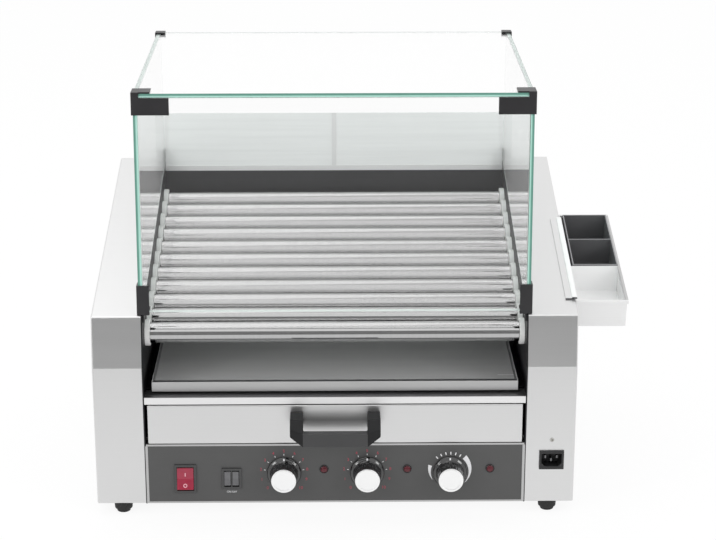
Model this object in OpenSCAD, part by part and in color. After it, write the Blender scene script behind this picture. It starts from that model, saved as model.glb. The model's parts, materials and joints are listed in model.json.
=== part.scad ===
// Counter-top hot dog roller machine: an inclined deck of heated rollers between two side casings,
// a glass hood, a drip tray, a bun drawer, a control panel and a hang-on side tray.
// Millimetres. X runs to the right, Y to the back, Z up from the table.
// Every module is written with X = 0 on the centre plane between the casings and Y = 0 on their front faces.

/* [Body] */
// Width over both side casings
body_w = 580; // [560:1:640]
// Depth of the casings from front to back
body_d = 408; // [366:1:440]
// Width of one side casing
casing_w = 61; // [58:1:75]
// Height of the rubber feet
foot_h = 14; // [8:1:24]
// Diameter of a rubber foot at the casing
foot_d = 23; // [16:1:25]
// Distance of the feet from the casing's front and rear
foot_inset = 13; // [13:1:60]
// Height of the casing's upright front
casing_front_h = 176; // [170:1:190]
// Height of the leaning band above the upright front
band_h = 62; // [58:1:76]
// Distance that the leaning band tilts back at its top
band_lean = 10; // [4:1:16]
// Rise of the roller deck and of the casing tops, in degrees
slope = 12.5; // [11:0.5:14]
// Thickness of the folded sheet
sheet = 1.2; // [0.8:0.1:1.6]
// Thickness of the side plates that carry the rollers
plate = 1.5; // [1.2:0.1:2.5]

/* [Rollers] */
// Diameter of a roller tube
roller_d = 25; // [20:0.5:28]
// Wall of a roller tube
roller_wall = 1.8; // [1.2:0.1:2.5]
// Distance of the first roller axis from the casing front
roller_first_y = 48; // [44:1:52]
// Distance of the last roller axis from the casing rear
roller_last_inset = 37.8; // [36:0.1:44]
// Depth of the roller axes under the casing's top edge
roller_drop = 42; // [38:1:46]
// Diameter of a roller journal
journal_d = 18; // [16:0.5:18]
// Bore through a roller journal, around its heating rod
journal_bore = 12; // [10:0.5:13]
// Diameter of a heating rod
rod_d = 8; // [6:0.5:8.5]
// Gap between the flanges of neighbouring roller bushes
bush_gap = 1; // [0.5:0.1:3]
// Flange thickness of a roller bush
bush_flange_t = 6; // [4:0.5:8]
// Barrel diameter of a roller bush
bush_barrel_d = 22; // [21:0.5:24]
// Length of bush barrel behind the side plate
bush_tail = 2.5; // [1:0.5:4]

/* [Drive] */
// Teeth on each sprocket
sprocket_teeth = 12; // [11:1:13]
// Pitch of the drive chain
chain_pitch = 6.35; // [6:0.05:6.5]
// Width of the sprocket teeth
tooth_w = 3; // [2.5:0.1:3.5]
// Height of a chain plate across the chain
chain_plate_h = 5; // [4:0.1:5.5]
// Thickness of a chain plate
chain_plate_t = 0.8; // [0.6:0.1:1]
// Diameter of the chain pins
chain_pin_d = 2.2; // [1.6:0.1:2.4]
// Distance of the motor shaft from the casing front
motor_y = 200; // [180:1:220]
// Height of the motor shaft above the casing bottom
motor_z = 118; // [110:1:125]
// Diameter of the gear motor
motor_d = 60; // [50:1:64]
// Diameter of the motor shaft
shaft_d = 8; // [6:0.5:10]
// Distance of the bracket's standoffs from the motor shaft, each way
standoff_reach = 36; // [35:1:40]
// Diameter of the standoffs
standoff_d = 8; // [6:0.5:10]

/* [Hood] */
// Thickness of the hood glass
glass_t = 5; // [4:0.5:6]
// Height of the hood over the casing's top front corner
hood_h = 266; // [240:1:300]
// Distance that the side glass stands out over the casing's inner edge
hood_overlap = 4; // [3:0.5:8]
// Distance of the front glass behind the casing's top front corner
hood_setback = 4; // [2:0.5:10]
// Lean of the front glass from upright, in degrees
hood_lean = 3.5; // [0:0.5:6]
// Depth of the top glass
hood_top_d = 352; // [330:1:360]
// Distance of the side glass's lower rear corner from the casing rear
hood_rear_inset = 16; // [14:1:40]
// Height of the glass above the casing top, filled by the clips' soles
hood_seat = 3; // [2:0.5:5]
// Thickness of the black clips outside the glass
clip_t = 2; // [1.5:0.1:3]
// Width of an upper front clip along the front glass
clip_front_w = 44; // [30:1:60]
// Height of an upper front clip down the front glass, under the top glass
clip_front_h = 20; // [14:1:26]
// Width of an upper front clip's corner in front of the top glass
clip_corner = 9; // [6:1:12]
// Reach of an upper clip over the top glass, to the back
clip_top_d = 22; // [16:1:36]
// Reach of an upper clip over the top glass, across
clip_top_w = 22; // [14:1:28]
// Size of an upper rear clip, each way
clip_rear = 13; // [10:1:18]
// Width of a lower front clip
clip_foot_w = 15; // [12:1:20]
// Height of a lower front clip
clip_foot_h = 33; // [28:1:44]
// Depth of a lower front clip's tongue inside the casing
clip_tongue = 10; // [6:1:14]
// Length of a lower rear clip
clip_heel = 20; // [14:1:30]

/* [Rear wall] */
// Distance of the well's back sheet from the casing rear
well_inset = 12; // [11:0.5:14]
// Depth of the well back's top edge under the casing top
well_drop = 12.6; // [8:0.5:20]
// Height of the rear guard above the well back
guard_h = 80; // [50:1:100]
// Overlap of the rear guard behind the well back
guard_lap = 30; // [15:1:40]
// Gap between the two halves of the rear guard
guard_seam = 1; // [0.5:0.1:2]
// Reach of the rear guard past the hood's side glass
guard_wing = 12; // [6:1:20]
// Height of the guard's wings above the casing top
guard_wing_gap = 1; // [0.5:0.1:3]
// Depth of the rear cover behind the casing rear edges
cover_inset = 2.5; // [2.4:0.1:3]

/* [Front] */
// Height of the control panel
panel_h = 75; // [70:1:80]
// Thickness of the control panel
panel_t = 1.5; // [1.2:0.1:2]
// Gap between the pieces of the front
front_gap = 3; // [3:0.5:5]
// Height of the drawer front
drawer_front_h = 48; // [44:1:50]
// Depth of the drawer front's folded edge
drawer_fold = 12; // [8:1:16]
// Height of the front rail
rail_h = 9; // [7:0.5:12]
// Depth of the front rail
rail_d = 25; // [15:1:30]
// Height of the drip tray's walls
drip_h = 12; // [9:0.5:18]
// Distance of the drip tray's front from the casing front
drip_front_y = 12; // [8:1:18]
// Gap between the drip tray and the side plates
drip_side_gap = 8.5; // [5:0.5:12]
// Gap between the drip tray and the well back
drip_rear_gap = 11; // [5:1:20]

/* [Drawer] */
// Length of the drawer box
drawer_len = 340; // [280:1:350]
// Gap between the drawer box and each side plate
drawer_side_gap = 14; // [10:0.5:18]
// Gap between the drawer front and each side plate
drawer_front_gap = 3; // [2:0.5:5]
// Height of the drawer box
drawer_h = 38; // [30:1:39]
// Width over the handle's legs
handle_w = 108; // [90:1:140]
// Width of one handle leg
handle_leg_w = 17; // [12:1:22]
// Reach of the handle in front of the drawer
handle_reach = 36; // [32:1:45]
// Height of the handle's grip
grip_h = 20; // [14:1:20]
// Thickness of the handle's grip
grip_t = 11; // [8:1:13]
// Height of the handle's top above the drawer front's lower edge
handle_top = 41.5; // [38:0.5:43]
// Drop of the grip's top below the handle's top
grip_drop = 12; // [6:1:14]

/* [Controls] */
// Height of the knobs above the casing bottom
knob_z = 40; // [34:0.5:42]
// Place of the left knob across the panel
knob_x1 = -62.3; // [-66:0.1:-58]
// Place of the middle knob across the panel
knob_x2 = 38.5; // [34:0.1:42]
// Place of the right knob across the panel
knob_x3 = 139; // [135:0.1:143]
// Diameter of a knob's skirt
knob_skirt_d = 42; // [36:0.5:46]
// Diameter of a knob's grip
knob_d = 31; // [26:0.5:34]
// Reach of a knob's grip in front of the panel
knob_reach = 25; // [18:0.5:30]
// Thickness of a knob's skirt
knob_skirt_t = 4; // [3:0.5:6]
// Diameter of a knob's silver cap
cap_d = 30; // [24:0.5:31]
// Thickness of a knob's silver cap
cap_t = 1; // [0.6:0.1:2]
// Diameter of a control spindle
spindle_d = 6; // [5:0.1:6.5]
// Length of spindle inside its control
spindle_len = 18; // [12:1:20]
// Diameter of a control's threaded neck
neck_d = 10; // [9:0.5:12]
// Diameter of a control behind the panel
control_d = 36; // [30:1:40]
// Depth of a control behind the panel
control_len = 28; // [24:1:36]
// Place of the indicator lamps to the right of each knob
lamp_x = 48.6; // [46:0.1:52]
// Height of the indicator lamps above the knobs
lamp_rise = 4.5; // [0:0.5:8]
// Diameter of a lamp's lens
lamp_d = 11; // [8:0.5:12]
// Diameter of a lamp's body
lamp_body_d = 8; // [6:0.5:9]
// Depth of a lamp's body behind the panel
lamp_len = 18; // [12:1:24]
// Place of the power switch across the panel
power_x = -182; // [-190:0.5:-174]
// Width of the power switch
power_w = 26.6; // [24:0.1:30]
// Height of the power switch
power_h = 37; // [34:0.1:40]
// Place of the twin switch across the panel
twin_x = -126; // [-132:0.5:-120]
// Width of the twin switch
twin_w = 24; // [24:0.1:28]
// Height of the twin switch
twin_h = 27; // [25:0.1:31]
// Height of both switches above the casing bottom
switch_z = 33; // [31:0.5:40]
// Thickness of a switch's bezel
bezel_t = 2; // [1.5:0.1:3]
// Width of a switch's bezel around its rocker
bezel_edge = 3; // [2.6:0.1:3.2]
// Depth of a switch behind the panel
switch_len = 26; // [20:1:32]
// Tilt of a rocker to each side, in degrees
rocker_tilt = 9; // [6:0.5:11]
// Diameter of a rocker's pivot pins
pivot_d = 3; // [2:0.1:3.4]

/* [Mains inlet] */
// Distance of the inlet's centre from the casing's outer side
inlet_x = 28; // [26:0.5:34]
// Height of the inlet's centre above the casing bottom
inlet_z = 55.5; // [40:0.5:70]
// Width of the inlet's bezel
inlet_w = 30; // [28.5:0.1:32]
// Height of the inlet's bezel
inlet_h = 24; // [22:0.1:26]
// Width of the inlet's socket
socket_w = 24.4; // [24:0.1:24.6]
// Height of the inlet's socket
socket_h = 16.4; // [16:0.1:16.6]
// Depth of the inlet's socket
socket_d = 17; // [15:0.5:20]
// Length of the inlet's blades
blade_len = 11; // [8:0.5:12]
// Wall of the inlet's body
inlet_wall = 1.6; // [1.2:0.1:1.9]

/* [Side tray] */
// Width of the side tray
side_w = 62; // [50:1:90]
// Length of the side tray along the slope
side_len = 212; // [200:1:250]
// Depth of the side tray
side_depth = 36; // [32:1:46]
// Length of the side tray's front compartment
side_front_len = 82; // [60:1:90]
// Distance of the side tray from the casing front
side_y = 53; // [40:1:70]
// Depth of the side tray's rim under the casing top
side_drop = 7; // [4:0.5:14]
// Gap between the side tray and the casing
side_gap = 2; // [1.8:0.1:4]
// Wall of the side tray
side_wall = 1; // [0.8:0.1:1.5]
// Wall of the black bin
bin_wall = 1.6; // [1.2:0.1:2.5]
// Height that the bin stands above the tray's rim
bin_rim = 1.5; // [1:0.1:4]
// Gap between the bin and the tray's casing-side wall, over the stud head
bin_stud_gap = 3.4; // [3.2:0.1:6]
// Shank diameter of a tray stud
stud_d = 6; // [5:0.1:8]
// Head diameter of a tray stud
stud_head_d = 12; // [11:0.1:14]
// Head thickness of a tray stud
stud_head_t = 2; // [1.5:0.1:2.4]
// Depth of the studs under the tray's rim
stud_drop = 11; // [10:0.5:12]
// Height that the tray rises off its studs
stud_lift = 12; // [11:0.5:12]

/* [Fasteners] */
// Thread diameter of a fixing screw
screw_d = 4; // [3:0.1:5]
// Head diameter of a fixing screw
screw_head_d = 7.5; // [6:0.1:9]
// Head height of a fixing screw
screw_head_t = 2; // [1.6:0.1:2.3]
// Length of a fixing screw under its head
screw_len = 8; // [5:0.5:10]

/* [Clearances] */
// Radial clearance of a running fit
run = 0.05; // [0.02:0.01:0.1]
// Radial clearance of a fixed piece in its hole
snug = 0.1; // [0.05:0.01:0.2]
// Gap between a moving piece and its seat
seat = 0.3; // [0.2:0.05:0.5]
// Gap between a roller and its bush
end_gap = 0.5; // [0.3:0.1:1]

/* [Hidden] */
roller_count = 11;
$fn = 64;
over = 1;

// Colours
steel = [0.80, 0.80, 0.80];
dark_steel = [0.36, 0.36, 0.37];
black = [0.16, 0.16, 0.17];
panel_grey = [0.30, 0.30, 0.30];
clear_glass = [0.80, 0.93, 0.90, 0.35];
red = [0.80, 0.16, 0.24];
white = [0.93, 0.93, 0.91];
brass = [0.75, 0.62, 0.35];

// Casing outline, seen from the side
half_w = body_w / 2;
inner_x = half_w - casing_w;
plate_x = inner_x + plate;
base_z = foot_h;
front_z = base_z + casing_front_h;
corner_z = front_z + band_h;
rise = tan(slope);
casing_outline = [
    [0, base_z],
    [body_d, base_z],
    [body_d, top_z(body_d)],
    [band_lean, corner_z],
    [0, front_z]
];
function top_z(y) = corner_z + (y - band_lean) * rise;

// Feet
foot_taper = 1.5;
foot_sole_d = foot_d - 6;
foot_sole_h = 4;
foot_recess_d = 8;
foot_recess_h = 5;

// Distance between neighbouring roller axes, along the slope
roller_pitch = (body_d - roller_first_y - roller_last_inset) / ((roller_count - 1) * cos(slope));

// Rollers and drive, along X
bush_flange_d = roller_pitch - bush_gap;
tube_x = inner_x - bush_flange_t - end_gap;
tail_x = plate_x + bush_tail;
chain_gap = 2.4;
tooth_x = tail_x + chain_gap + chain_plate_t + seat;
tooth_end_x = tooth_x + tooth_w;
chain_end_x = tooth_end_x + seat + chain_plate_t;
journal_tail = 3;
bracket_gap = 5;
bracket_x = chain_end_x + bracket_gap;
bracket_t = 2;
motor_x = bracket_x + bracket_t;
motor_gap = 2.6;
motor_end_x = half_w - sheet - motor_gap;
strip_gap = 8;
strip_x = chain_end_x + strip_gap;
strip_t = 1.5;
rod_tail = 4;
rod_x = strip_x + strip_t + rod_tail;

// Roller and drive axes, seen from the side
first_axis = [roller_first_y, top_z(roller_first_y) - roller_drop];
along_slope = [cos(slope), sin(slope)];
roller_axes = [for (i = [0 : roller_count - 1]) first_axis + i * roller_pitch * along_slope];
last_axis = roller_axes[roller_count - 1];
motor_axis = [motor_y, base_z + motor_z];
chain_axes = [first_axis, motor_axis, last_axis];
pitch_r = chain_pitch / (2 * sin(180 / sprocket_teeth));
chain_roller_d = 4.2;
tooth_rise = 1.4;
tooth_root_r = pitch_r - chain_roller_d / 2;
tooth_tip_r = pitch_r + tooth_rise;
tooth_root_share = 0.34;
tooth_tip_share = 0.14;
roller_plug = 5.4;
strip_h = 16;
strip_leg = 8;

// Rear wall
well_y = body_d - well_inset;
well_top_z = top_z(well_y) - well_drop;
cover_y = body_d - cover_inset - sheet;
flange_w = 25;
flange_end = 25;

// Front stack, upwards from the casing bottom
panel_lift = 0.5;
panel_z = base_z + panel_lift;
panel_top_z = panel_z + panel_h;
drawer_z = panel_top_z + front_gap;
drawer_top_z = drawer_z + drawer_front_h;
rail_z = drawer_top_z + front_gap;
rail_top_z = rail_z + rail_h;
drip_z = rail_top_z + front_gap;
ledge_top_z = drip_z - seat;
ledge_w = 18;
ledge_leg = 12;
box_z = drawer_z + sheet + 2 * seat + sheet;
runner_top_z = box_z - seat;
runner_w = 24;
runner_leg = 10;
runner_y = drawer_fold + 2;
shelf_drop = 15;
shelf_z = runner_top_z - shelf_drop;
shelf_y = 55;
drip_x = inner_x - drip_side_gap;
drip_rear_y = well_y - drip_rear_gap;
pan_lip = 11;

// Controls
knob_places = [knob_x1, knob_x2, knob_x3];
knob_height = base_z + knob_z;
knob_gap = 1;
switch_height = base_z + switch_z;
pivot_depth = 3;
pin_seat = 0.6;
rocker_gap = 0.35;
rocker_room = 2;
rocker_proud = 1;
rocker_heel = 2;
rocker_keel = 3.5;
paddle_gap = 1.4;

// Handle and side tray
leg_x = handle_w / 2;
handle_top_z = drawer_z + handle_top;
grip_top_z = handle_top_z - grip_drop;
handle_heel = 24;
side_x = half_w + side_gap;
stud_spots = [side_front_len / 2, side_len - side_front_len / 2];
stud_base_d = stud_head_d + 2;
stud_tail_d = 4.8;
stud_tail = 6;

// Hood, seen from the side
hood_x = inner_x + hood_overlap;
hood_top_z = corner_z + hood_h;
glass_top_z = hood_top_z - glass_t;
hood_front_y = band_lean + hood_setback;
hood_bottom_z = top_z(hood_front_y) + hood_seat;
hood_top_y = hood_front_y + (glass_top_z - hood_bottom_z) * tan(hood_lean);
hood_rear_y = body_d - hood_rear_inset;
hood_back_y = hood_top_y + hood_top_d;
side_glass_outline = [
    [hood_front_y, hood_bottom_z],
    [hood_rear_y, top_z(hood_rear_y) + hood_seat],
    [hood_back_y, glass_top_z],
    [hood_top_y, glass_top_z]
];
envelope_outline = [
    [hood_front_y, hood_bottom_z],
    [hood_rear_y, top_z(hood_rear_y) + hood_seat],
    [hood_back_y, glass_top_z],
    [hood_back_y, hood_top_z],
    [hood_top_y, hood_top_z],
    [hood_top_y, glass_top_z]
];

// The origin lies under the middle of the whole machine's box
front_reach = max(handle_reach, knob_reach + cap_t);
centre_x = (side_gap + side_w) / 2;
centre_y = (body_d - front_reach) / 2;

function unit(v) = v / norm(v);
function left_of(v) = [-v.y, v.x];
function crossing(p, u, q, v) = p + u * cross(q - p, v) / cross(u, v);
// Outline moved inwards by t all round, its corners counted anticlockwise
function inset(points, t) =
    let (n = len(points))
    [for (i = [0 : n - 1])
        let (
            a = points[(i + n - 1) % n],
            b = points[i],
            c = points[(i + 1) % n],
            u = unit(b - a),
            v = unit(c - b)
        )
        crossing(a + t * left_of(u), u, b + t * left_of(v), v)];
function heading(a, b) = atan2(b.y - a.y, b.x - a.x);
// Loop at distance r around the given axes: an arc at each axis, joined by straight strands
function loop_around(axes, r, steps = 12) =
    let (n = len(axes))
    [for (i = [0 : n - 1])
        let (
            from = heading(axes[(i + n - 1) % n], axes[i]) - 90,
            to = heading(axes[i], axes[(i + 1) % n]) - 90,
            turn = (to - from + 720) % 360
        )
        for (k = [0 : steps])
            axes[i] + r * [cos(from + turn * k / steps), sin(from + turn * k / steps)]];
// Chain wheel outline: four points a tooth
function wheel_outline() =
    let (
        root = [tooth_root_share, tooth_root_r],
        tip = [tooth_tip_share, tooth_tip_r]
    )
    [for (t = [0 : sprocket_teeth - 1], q = [[-1, root], [-1, tip], [1, tip], [1, root]])
        let (a = 360 * (t + q[0] * q[1][0]) / sprocket_teeth)
        q[1][1] * [cos(a), sin(a)]];

module placed() translate([-centre_x, -centre_y, 0]) children();
module along_x(x0, x1) translate([x0, 0, 0]) rotate([90, 0, 90]) linear_extrude(x1 - x0) children();
module both_sides() {
    children();
    mirror([1, 0, 0]) children();
}
// Box between two values on each axis
module block(x, y, z) translate([x[0], y[0], z[0]]) cube([x[1] - x[0], y[1] - y[0], z[1] - z[0]]);
// Round bar along X on a side-view axis
module bar(axis, d, x0, x1) translate([x0, axis.x, axis.y]) rotate([0, 90, 0]) cylinder(h = x1 - x0, d = d);
// Front-facing place on the panel: local Y is up, local Z is out of the panel
module facing(x, z) translate([x, 0, z]) rotate([90, 0, 0]) children();
// Place in the side tray's own frame: local Y runs up the slope, local Z is square to it
module on_slope() translate([side_x, side_y, top_z(side_y) - side_drop]) rotate([slope, 0, 0]) children();

// Body

module base_pan() color(steel) placed() {
    block([-inner_x, inner_x], [panel_t, cover_y], [base_z, base_z + sheet]);
    block([-inner_x, inner_x], [panel_t, panel_t + sheet], [base_z, base_z + pan_lip]);
}

module foot() difference() {
    union() {
        cylinder(h = foot_sole_h + over, d = foot_sole_d);
        translate([0, 0, foot_sole_h]) cylinder(h = foot_h - foot_sole_h, d1 = foot_d - foot_taper, d2 = foot_d);
    }
    translate([0, 0, -over]) cylinder(h = foot_recess_h + over, d = foot_recess_d);
}

module feet() color(black) placed() both_sides()
    for (y = [foot_inset, body_d - foot_inset])
        translate([half_w - casing_w / 2, y, 0]) foot();

module casing_shell() difference() {
    along_x(plate_x, half_w) polygon(casing_outline);
    along_x(plate_x - over, half_w - sheet) polygon(inset(casing_outline, sheet));
}

module left_casing() color(steel) placed() mirror([1, 0, 0]) casing_shell();

module right_casing() color(steel) placed() difference() {
    casing_shell();
    facing(half_w - inlet_x, base_z + inlet_z) inlet_body(snug, sheet + over, over);
    on_slope() for (y = stud_spots) stud_bar(y, stud_tail_d + 2 * snug, -side_gap - sheet - over, -side_gap + over);
}

// Flat sheet inside a casing, with a bore for every bush and a folded flange for the rear cover
module side_plate() {
    difference() {
        along_x(inner_x, plate_x) polygon(casing_outline);
        for (axis = roller_axes) bar(axis, bush_barrel_d + 2 * snug, inner_x - over, plate_x + over);
        for (z = cover_screw_heights()) cover_screw_hole(z);
    }
    difference() {
        block([inner_x - flange_w, inner_x], [cover_y - plate, cover_y],
            [base_z + flange_end, well_top_z - flange_end]);
        for (z = cover_screw_heights()) cover_screw_hole(z);
    }
}

module left_side_plate() color(steel) placed() mirror([1, 0, 0]) side_plate();

module right_side_plate() color(steel) placed() side_plate();

function cover_screw_heights() =
    let (low = base_z + 2 * flange_end, high = well_top_z - 2 * flange_end)
    [low, (low + high) / 2, high];

module cover_screw_hole(z) translate([inner_x - flange_w / 2, 0, z])
    rotate([-90, 0, 0]) translate([0, 0, cover_y - plate - over])
        cylinder(h = plate + sheet + 2 * over, d = screw_d + 2 * snug);

module rear_cover() color(steel) placed() difference() {
    union() {
        block([-inner_x, inner_x], [cover_y, cover_y + sheet], [base_z, well_top_z]);
        block([-inner_x, inner_x], [well_y + 2 * sheet + seat, cover_y + sheet], [well_top_z - sheet, well_top_z]);
    }
    both_sides() for (z = cover_screw_heights()) cover_screw_hole(z);
}

module well_back() color(dark_steel) placed()
    block([-inner_x, inner_x], [well_y, well_y + sheet], [rail_top_z, well_top_z]);

// Two sheets behind the well back, wider above the casing tops
module rear_guard() color(steel) placed() both_sides() {
    front = well_y + sheet;
    back = front + sheet;
    guard_top_z = well_top_z + guard_h;
    block([guard_seam / 2, inner_x - guard_wing_gap], [front, back], [well_top_z - guard_lap, guard_top_z]);
    block([guard_seam / 2, hood_x + guard_wing], [front, back], [top_z(back) + guard_wing_gap, guard_top_z]);
}

module front_rail() color(steel) placed() {
    block([-inner_x, inner_x], [0, sheet], [rail_z, rail_top_z]);
    block([-inner_x, inner_x], [0, rail_d], [rail_top_z - sheet, rail_top_z]);
}

module control_panel() color(panel_grey) placed() difference() {
    block([-inner_x + seat, inner_x - seat], [0, panel_t], [panel_z, panel_top_z]);
    for (x = knob_places) {
        facing(x, knob_height) hole_through_panel(neck_d + 2 * snug);
        facing(x + lamp_x, knob_height + lamp_rise) hole_through_panel(lamp_body_d + 2 * snug);
    }
    facing(power_x, switch_height) switch_case(power_w, power_h, snug, panel_t + over, over);
    facing(twin_x, switch_height) switch_case(twin_w, twin_h, snug, panel_t + over, over);
}

module hole_through_panel(d) translate([0, 0, -panel_t - over]) cylinder(h = panel_t + 2 * over, d = d);

module drawer_shelf() color(steel) placed()
    block([-inner_x, inner_x], [shelf_y, well_y], [shelf_z - sheet, shelf_z]);

// Angle along a side plate: a flat leg under the sliding piece and an upright leg on the plate
module ledge(w, leg, top, y0, y1) {
    block([inner_x - w, inner_x], [y0, y1], [top - sheet, top]);
    block([inner_x - sheet, inner_x], [y0, y1], [top - leg, top]);
}

module drawer_runners() color(steel) placed() both_sides()
    ledge(runner_w, runner_leg, runner_top_z, runner_y, drawer_len);

module tray_ledges() color(steel) placed() both_sides()
    ledge(ledge_w, ledge_leg, ledge_top_z, rail_d + 2 * seat, drip_rear_y);

// Rollers and drive

module bush(axis) difference() {
    union() {
        bar(axis, bush_flange_d, inner_x - bush_flange_t, inner_x);
        bar(axis, bush_barrel_d, inner_x - bush_flange_t, tail_x);
    }
    bar(axis, journal_d + 2 * run, inner_x - bush_flange_t - over, tail_x + over);
}

module roller_bushes() color(white) placed() both_sides() for (axis = roller_axes) bush(axis);

// Tube with turned ends: the right-hand end carries its chain wheel
module roller(i) color(steel) placed() difference() {
    union() {
        bar(roller_axes[i], roller_d, -tube_x, tube_x);
        bar(roller_axes[i], journal_d, -tail_x - journal_tail, tooth_end_x);
        translate([0, roller_axes[i].x, roller_axes[i].y]) along_x(tooth_x, tooth_end_x)
            rotate(slope) polygon(wheel_outline());
    }
    bar(roller_axes[i], journal_bore, -tail_x - journal_tail - over, tooth_end_x + over);
    bar(roller_axes[i], roller_d - 2 * roller_wall, -tube_x + roller_plug, tube_x - roller_plug);
}

module heating_rods() color(brass) placed() for (axis = roller_axes) bar(axis, rod_d, -rod_x, rod_x);

// Strip along the roller ends inside a casing, with a leg at each end on the side plate
module heater_bracket() {
    reach = pitch_r + chain_plate_h / 2 + 2 * strip_leg;
    strip_len = (roller_count - 1) * roller_pitch + 2 * reach;
    difference() {
        translate([0, first_axis.x, first_axis.y]) rotate([slope, 0, 0])
            block([strip_x, strip_x + strip_t], [-reach, strip_len - reach], [-strip_h / 2, strip_h / 2]);
        for (axis = roller_axes) bar(axis, rod_d + 2 * snug, strip_x - over, strip_x + strip_t + over);
    }
    translate([0, first_axis.x, first_axis.y]) rotate([slope, 0, 0])
        for (y = [-reach, strip_len - reach - strip_leg])
            block([plate_x, strip_x], [y, y + strip_leg], [-strip_leg / 2, strip_leg / 2]);
}

module heater_brackets() color(steel) placed() both_sides() heater_bracket();

module motor_bracket() color(steel) placed() {
    edge = standoff_reach + standoff_d;
    difference() {
        translate([0, motor_axis.x, motor_axis.y])
            block([bracket_x, bracket_x + bracket_t], [-edge, edge], [-edge, edge]);
        bar(motor_axis, 2 * shaft_d, bracket_x - over, bracket_x + bracket_t + over);
    }
    for (y = [-1, 1], z = [-1, 1])
        bar(motor_axis + standoff_reach * [y, z], standoff_d, plate_x, bracket_x);
}

module drive_motor() color(dark_steel) placed() difference() {
    union() {
        bar(motor_axis, motor_d, motor_x, motor_end_x);
        bar(motor_axis, 2 * shaft_d - 2 * snug, bracket_x, motor_x);
    }
    bar(motor_axis, shaft_d + 2 * run, bracket_x - over, motor_end_x - shaft_d / 2);
}

module drive_sprocket() color(dark_steel) placed() {
    translate([0, motor_axis.x, motor_axis.y]) along_x(tooth_x, tooth_end_x) polygon(wheel_outline());
    bar(motor_axis, 2 * shaft_d - 2 * snug, tooth_x, bracket_x - seat);
    bar(motor_axis, shaft_d, tooth_x, motor_end_x - shaft_d);
}

// Two rows of plates on either side of the teeth, tied by pins along the free strands
module drive_chain() color(dark_steel) placed() {
    for (x = [tooth_x - seat - chain_plate_t, tooth_end_x + seat]) difference() {
        along_x(x, x + chain_plate_t) polygon(loop_around(chain_axes, pitch_r + chain_plate_h / 2));
        along_x(x - over, x + chain_plate_t + over)
            polygon(loop_around(chain_axes, pitch_r - chain_plate_h / 2));
    }
    for (i = [0, 1]) chain_pins(chain_axes[i], chain_axes[i + 1]);
}

module chain_pins(a, b) {
    u = unit(b - a);
    clear = 2 * tooth_tip_r;
    spacing = 2 * chain_pitch;
    for (s = [clear : spacing : norm(b - a) - clear])
        bar(a + s * u - pitch_r * left_of(u), chain_pin_d, tooth_x - seat - chain_plate_t, chain_end_x);
}

// Controls

module thermostats() color(black) placed() for (x = knob_places) facing(x, knob_height) difference() {
    union() {
        translate([0, 0, -panel_t - control_len]) cylinder(h = control_len, d = control_d);
        translate([0, 0, -panel_t - control_len]) cylinder(h = control_len + panel_t, d = neck_d);
    }
    translate([0, 0, -panel_t - spindle_len - over])
        cylinder(h = spindle_len + panel_t + 2 * over, d = spindle_d + 2 * run);
}

module knob(x) color(black) placed() facing(x, knob_height) {
    translate([0, 0, knob_gap]) cylinder(h = knob_skirt_t, d1 = knob_skirt_d, d2 = knob_skirt_d - knob_skirt_t);
    translate([0, 0, knob_gap]) cylinder(h = knob_reach - knob_gap, d = knob_d);
    translate([0, 0, -panel_t - spindle_len + seat])
        cylinder(h = panel_t + spindle_len + knob_gap, d = spindle_d);
}

module knob_cap(x) color(steel) placed() facing(x, knob_height)
    translate([0, 0, knob_reach]) cylinder(h = cap_t, d = cap_d);

module indicator_lamps() color(red) placed() for (x = knob_places)
    facing(x + lamp_x, knob_height + lamp_rise) {
        translate([0, 0, -lamp_len]) cylinder(h = lamp_len + snug, d = lamp_body_d);
        intersection() {
            translate([0, 0, -lamp_d / 4]) sphere(d = lamp_d * sqrt(5) / 2);
            cylinder(h = lamp_d, d = 2 * lamp_d);
        }
    }

// Outside of a switch behind its bezel, grown all round, from depth back to front
module switch_case(w, h, grow, back, front) {
    case_w = w - bezel_edge;
    case_h = h - bezel_edge;
    block([-case_w / 2 - grow, case_w / 2 + grow], [-case_h / 2 - grow, case_h / 2 + grow], [-back, front]);
}

// Width of one rocker in a switch of the given width and count
function paddle_w(w, count) = (w - 2 * bezel_edge - (count - 1) * paddle_gap) / count;
function paddle_x(w, count, i) = (i - (count - 1) / 2) * (paddle_w(w, count) + paddle_gap);

// Switch with a pocket for each rocker and round seats for the rocker's pins
module switch_body(w, h, count) difference() {
    union() {
        block([-w / 2, w / 2], [-h / 2, h / 2], [0, bezel_t]);
        switch_case(w, h, 0, switch_len, bezel_t / 2);
    }
    for (i = [0 : count - 1]) translate([paddle_x(w, count, i), 0, 0]) {
        pocket_w = paddle_w(w, count) / 2;
        pocket_h = h / 2 - bezel_edge;
        block([-pocket_w, pocket_w], [-pocket_h, pocket_h], [-pocket_depth(h), bezel_t + over]);
        translate([0, 0, -pivot_depth])
            bar([0, 0], pivot_d + 2 * run, -pocket_w - pin_seat, pocket_w + pin_seat);
    }
}

function rocker_half(h) = h / 2 - bezel_edge - rocker_room;
function pocket_depth(h) = pivot_depth + rocker_keel + rocker_proud + rocker_half(h) * sin(rocker_tilt);

// Rocker on its pins, tipped to its rest side, with a shallow valley across its face
module rocker(w, h, count) {
    half = rocker_half(h);
    reach = half * sin(rocker_tilt) + bezel_t + rocker_proud;
    side = paddle_w(w, count) / 2 - rocker_gap;
    translate([0, 0, -pivot_depth]) rotate([-rocker_tilt, 0, 0]) {
        along_x(-side, side) polygon([
            [-half, -rocker_heel],
            [-pivot_d, -rocker_keel],
            [pivot_d, -rocker_keel],
            [half, -rocker_heel],
            [half, pivot_depth + reach],
            [0, pivot_depth + reach - half * sin(rocker_tilt) / 2],
            [-half, pivot_depth + reach]
        ]);
        bar([0, 0], pivot_d, -side - pin_seat, side + pin_seat);
    }
}

module power_switch_body() color(black) placed() facing(power_x, switch_height) switch_body(power_w, power_h, 1);

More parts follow.
